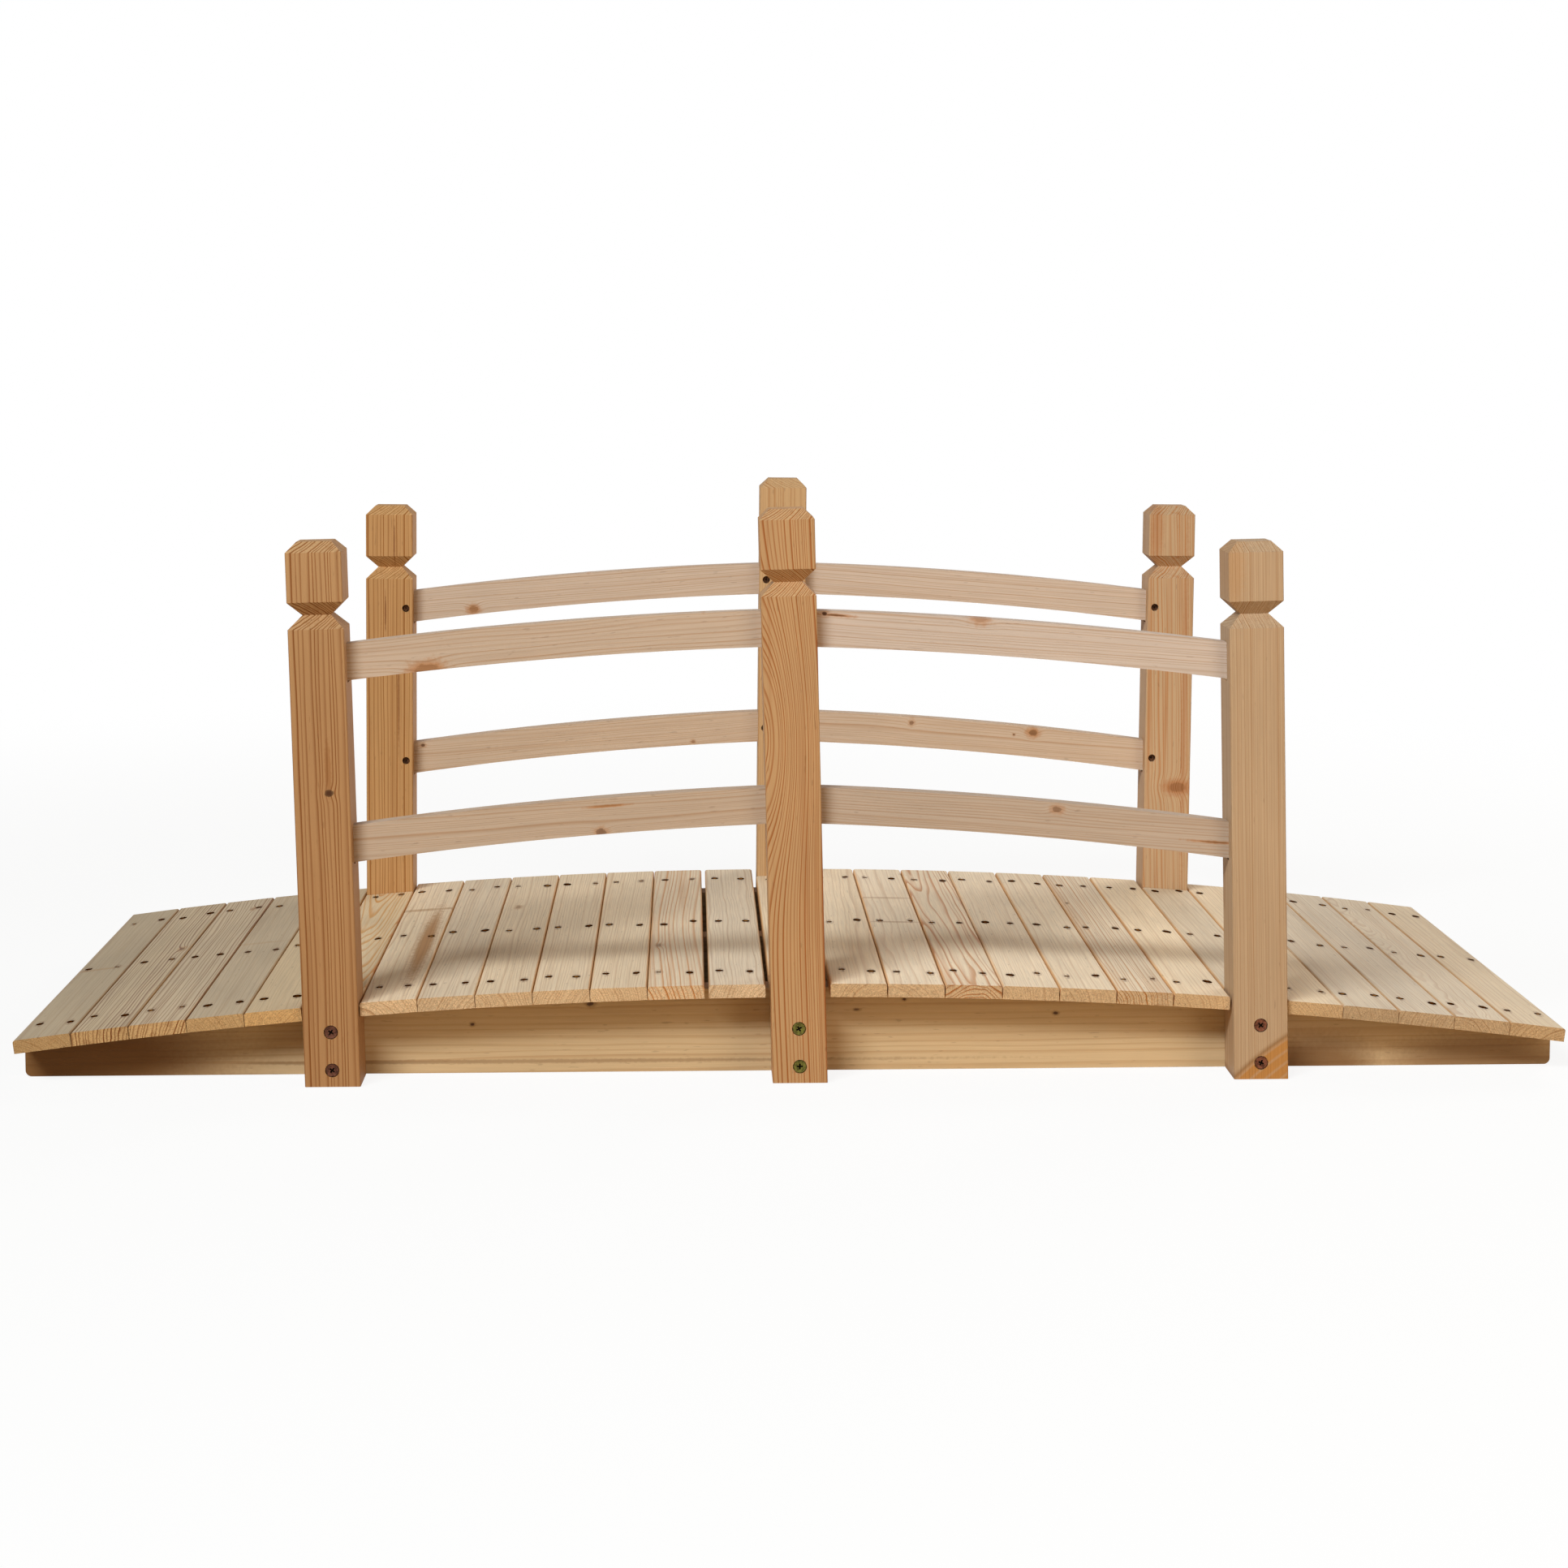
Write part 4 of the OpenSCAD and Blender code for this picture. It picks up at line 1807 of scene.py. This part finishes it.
    def pin_rails(self) -> None:
        """Puts a pin into each rail end, from the inner face of its post."""
        draw = random.Random(self.pin_seed)
        finish = self.shop.metal("rail_pin_steel", self.PIN)
        recess = self.shop.metal("rail_pin_recess", self.RECESS_SHADE)
        pattern = self.PIN_HEAD.model(finish, recess)
        inner = self.bridge.frame_width / 2
        ends = ((Place.CENTRE, self.bay[0] - self.pin_inset), (Place.RIGHT, self.bay[1] + self.pin_inset))
        for side in Side:
            inward = Vector((0, -side.value, 0))
            places: dict[Place, list[Placed]] = {place: [] for place in Place}
            for level in Level:
                shift = self.lean_shift(side, (sum(self.rail_ends(level)) - self.rail_height) / 2)
                for hand in (-1, 1):
                    for post, x in ends:
                        where = post if post is Place.CENTRE else Place(hand)
                        depth = side.value * (inner + self.pin_sunk)
                        point = Vector((hand * x + shift, depth, self.rail_line(level, x)))
                        places[where].append((pattern, self.face_out(point, inward, draw)))
            for place, placed in places.items():
                Modeller.spread(placed, f"{side.name}_{place.name}_rail_pins".lower())
        Modeller.retire(pattern)


@dataclass
class Studio:
    """The pale floor, the soft light and the camera at the photograph's place.

    Lengths are in metres, those in the picture in pixels and the sensor's width in millimetres. The
    camera's turns are in radians and the lamps' angles in degrees.
    """

    picture: float = 1932.0
    eye: Point = (-0.105684, -3.279837, 0.721091)
    yaw: float = 0.04671
    pitch: float = 0.09024
    roll: float = 0.00277
    focus: float = 3892.98
    optical_x: float = 1027.03
    optical_y: float = 753.94
    framing: float = 0.986
    sensor: float = 36.0
    sight: float = 200.0
    target: Point = (0.0, 0.0, 0.2)
    key_power: float = 91.0
    key_tint: Colour = (0.92, 0.985, 1.0)
    key_spread: float = 80.0
    key_aside: float = 0.95
    key_size: tuple[float, float] = (3.4, 1.15)
    key_distance: float = 7.0
    key_turn: float = -28.0
    key_height: float = 36.0
    fill_power: float = 25.0
    fill_tint: Colour = (1.0, 0.84, 0.64)
    fill_size: tuple[float, float] = (1.6, 1.6)
    fill_spot: Point = (2.0, -2.4, 0.8)
    fill_target: Point = (0.4, 0.0, 0.1)
    back_power: float = 45.0
    back_tint: Colour = (1.0, 0.97, 0.92)
    back_size: tuple[float, float] = (1.8, 1.8)
    back_spot: Point = (2.4, 2.6, 2.0)
    sky: float = 0.12
    sky_tint: Colour = (1.0, 0.74, 0.43)
    floor_radius: float = 40.0
    floor_sides: int = 96
    floor_drop: float = 0.0005
    floor_bounce: Colour = (0.57, 0.39, 0.21)
    floor_glow: float = 0.88
    floor_fade: Range = (0.9, 3.0)

    def set_camera(self) -> None:
        """Places the camera so that the frame matches the photograph, a little wider."""
        data = bpy.data.cameras.new("photo_camera")
        camera = bpy.data.objects.new("photo_camera", data)
        bpy.context.collection.objects.link(camera)
        level = Vector((math.cos(self.yaw), -math.sin(self.yaw), 0))
        ahead = Vector((math.sin(self.yaw), math.cos(self.yaw), 0))
        forward = math.cos(self.pitch) * ahead - Vector((0, 0, math.sin(self.pitch)))
        upright = level.cross(forward)
        right = math.cos(self.roll) * level + math.sin(self.roll) * upright
        up = -math.sin(self.roll) * level + math.cos(self.roll) * upright
        turn = Matrix((right, up, -forward)).transposed()
        camera.matrix_world = Matrix.Translation(self.eye) @ turn.to_4x4()
        data.sensor_fit = "HORIZONTAL"
        data.sensor_width = self.sensor
        data.lens = self.sensor * self.focus * self.framing / self.picture
        data.shift_x = self.framing * (0.5 - self.optical_x / self.picture)
        data.shift_y = self.framing * (self.optical_y / self.picture - 0.5)
        data.clip_end = self.sight
        bpy.context.scene.camera = camera

    @staticmethod
    def lamp(
        name: str, power: float, tint: Colour, size: tuple[float, float], spot: Vector, target: Vector
    ) -> bpy.types.AreaLight:
        """Hangs a soft lamp.

        Args:
            name: Its name.
            power: Its power in watts.
            tint: Its colour.
            size: Width and height of its face.
            spot: Where it hangs.
            target: What it looks at.

        Returns:
            The lamp's data.
        """
        data = bpy.data.lights.new(name, "AREA")
        data.energy = power
        data.color = tint
        data.shape = "RECTANGLE"
        data.size, data.size_y = size
        lamp = bpy.data.objects.new(name, data)
        lamp.location = spot
        lamp.rotation_euler = (target - spot).to_track_quat("-Z", "Y").to_euler()
        bpy.context.collection.objects.link(lamp)
        return data

    def set_light(self) -> None:
        """Hangs the lamps and lights the sky."""
        target = Vector(self.target)
        turn, height = math.radians(self.key_turn), math.radians(self.key_height)
        flat = math.cos(height)
        way = Vector((math.sin(turn) * flat, -math.cos(turn) * flat, math.sin(height)))
        spot = target + self.key_distance * way
        aim = target + Vector((self.key_aside, 0.0, 0.0))
        key = self.lamp("key_lamp", self.key_power, self.key_tint, self.key_size, spot, aim)
        key.spread = math.radians(self.key_spread)
        spot, aim = Vector(self.fill_spot), Vector(self.fill_target)
        self.lamp("fill_lamp", self.fill_power, self.fill_tint, self.fill_size, spot, aim)
        spot = Vector(self.back_spot)
        self.lamp("back_lamp", self.back_power, self.back_tint, self.back_size, spot, target)
        world = bpy.data.worlds.new("studio_sky")
        world.use_nodes = True
        world.node_tree.nodes.clear()
        sheet = NodeSheet(world.node_tree)
        seen = self._seen(sheet)
        colour = sheet.mix(seen, self.sky_tint, WHITE)
        sky = sheet.add("Background", colour, sheet.line(seen, 1.0 - self.sky, self.sky))
        sheet.add("OutputWorld", sky.outputs[0])
        bpy.context.scene.world = world

    @staticmethod
    def _seen(sheet: NodeSheet) -> Socket:
        """Tells what the camera sees, straight, mirrored or through glass, from what only lights.

        Args:
            sheet: Nodes to add to.

        Returns:
            1 where it is seen.
        """
        path = sheet.add("LightPath").outputs
        mirrored = sheet.math("MAXIMUM", path["Is Glossy Ray"], path["Is Transmission Ray"])
        return sheet.math("MAXIMUM", path["Is Camera Ray"], mirrored)

    def lay_floor(self) -> None:
        """Lays the floor, white to the eye but with the bridge's soft shadow."""
        Modeller.clear()
        bpy.ops.mesh.primitive_circle_add(
            vertices=self.floor_sides,
            radius=self.floor_radius,
            fill_type="NGON",
            location=(0, 0, -self.floor_drop),
        )
        floor = Modeller.settle()
        floor.name = "floor"
        material, sheet = Workshop.blank("floor_paper")
        seen = self._seen(sheet)
        paper = sheet.add("BsdfDiffuse", sheet.mix(seen, self.floor_bounce, WHITE))
        glow = sheet.add("Emission", WHITE)
        far = sheet.vector("LENGTH", sheet.add("TexCoord").outputs["Object"])
        fade = sheet.rise(far, *self.floor_fade, 1.0 - self.floor_glow)
        share = sheet.times(seen, sheet.math("ADD", fade, self.floor_glow))
        both = sheet.add("MixShader", share, paper.outputs[0], glow.outputs[0])
        sheet.add("OutputMaterial", both.outputs[0])
        put_on(floor, material)

    def build(self) -> None:
        """Sets up camera, light, floor and the plain view of colours."""
        self.set_camera()
        self.set_light()
        self.lay_floor()
        bpy.context.scene.view_settings.view_transform = "Standard"


def main() -> None:
    """Loads the frame and builds the bridge piece by piece."""
    logging.basicConfig(level=logging.INFO, format="%(message)s")
    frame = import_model()
    nodes = frame["nodes"]
    bridge = Bridge()
    shop = Workshop()
    Studio().build()
    Beams(bridge, shop, nodes).dress()
    Posts(bridge, shop, nodes).dress()
    Rails(bridge, shop, nodes).dress()
    deck = Deck(bridge, shop, nodes)
    deck.dress()
    deck.nail_down()
    fasteners = Fasteners(bridge, shop)
    fasteners.screw_posts()
    fasteners.pin_rails()


if __name__ == "__main__":
    main()
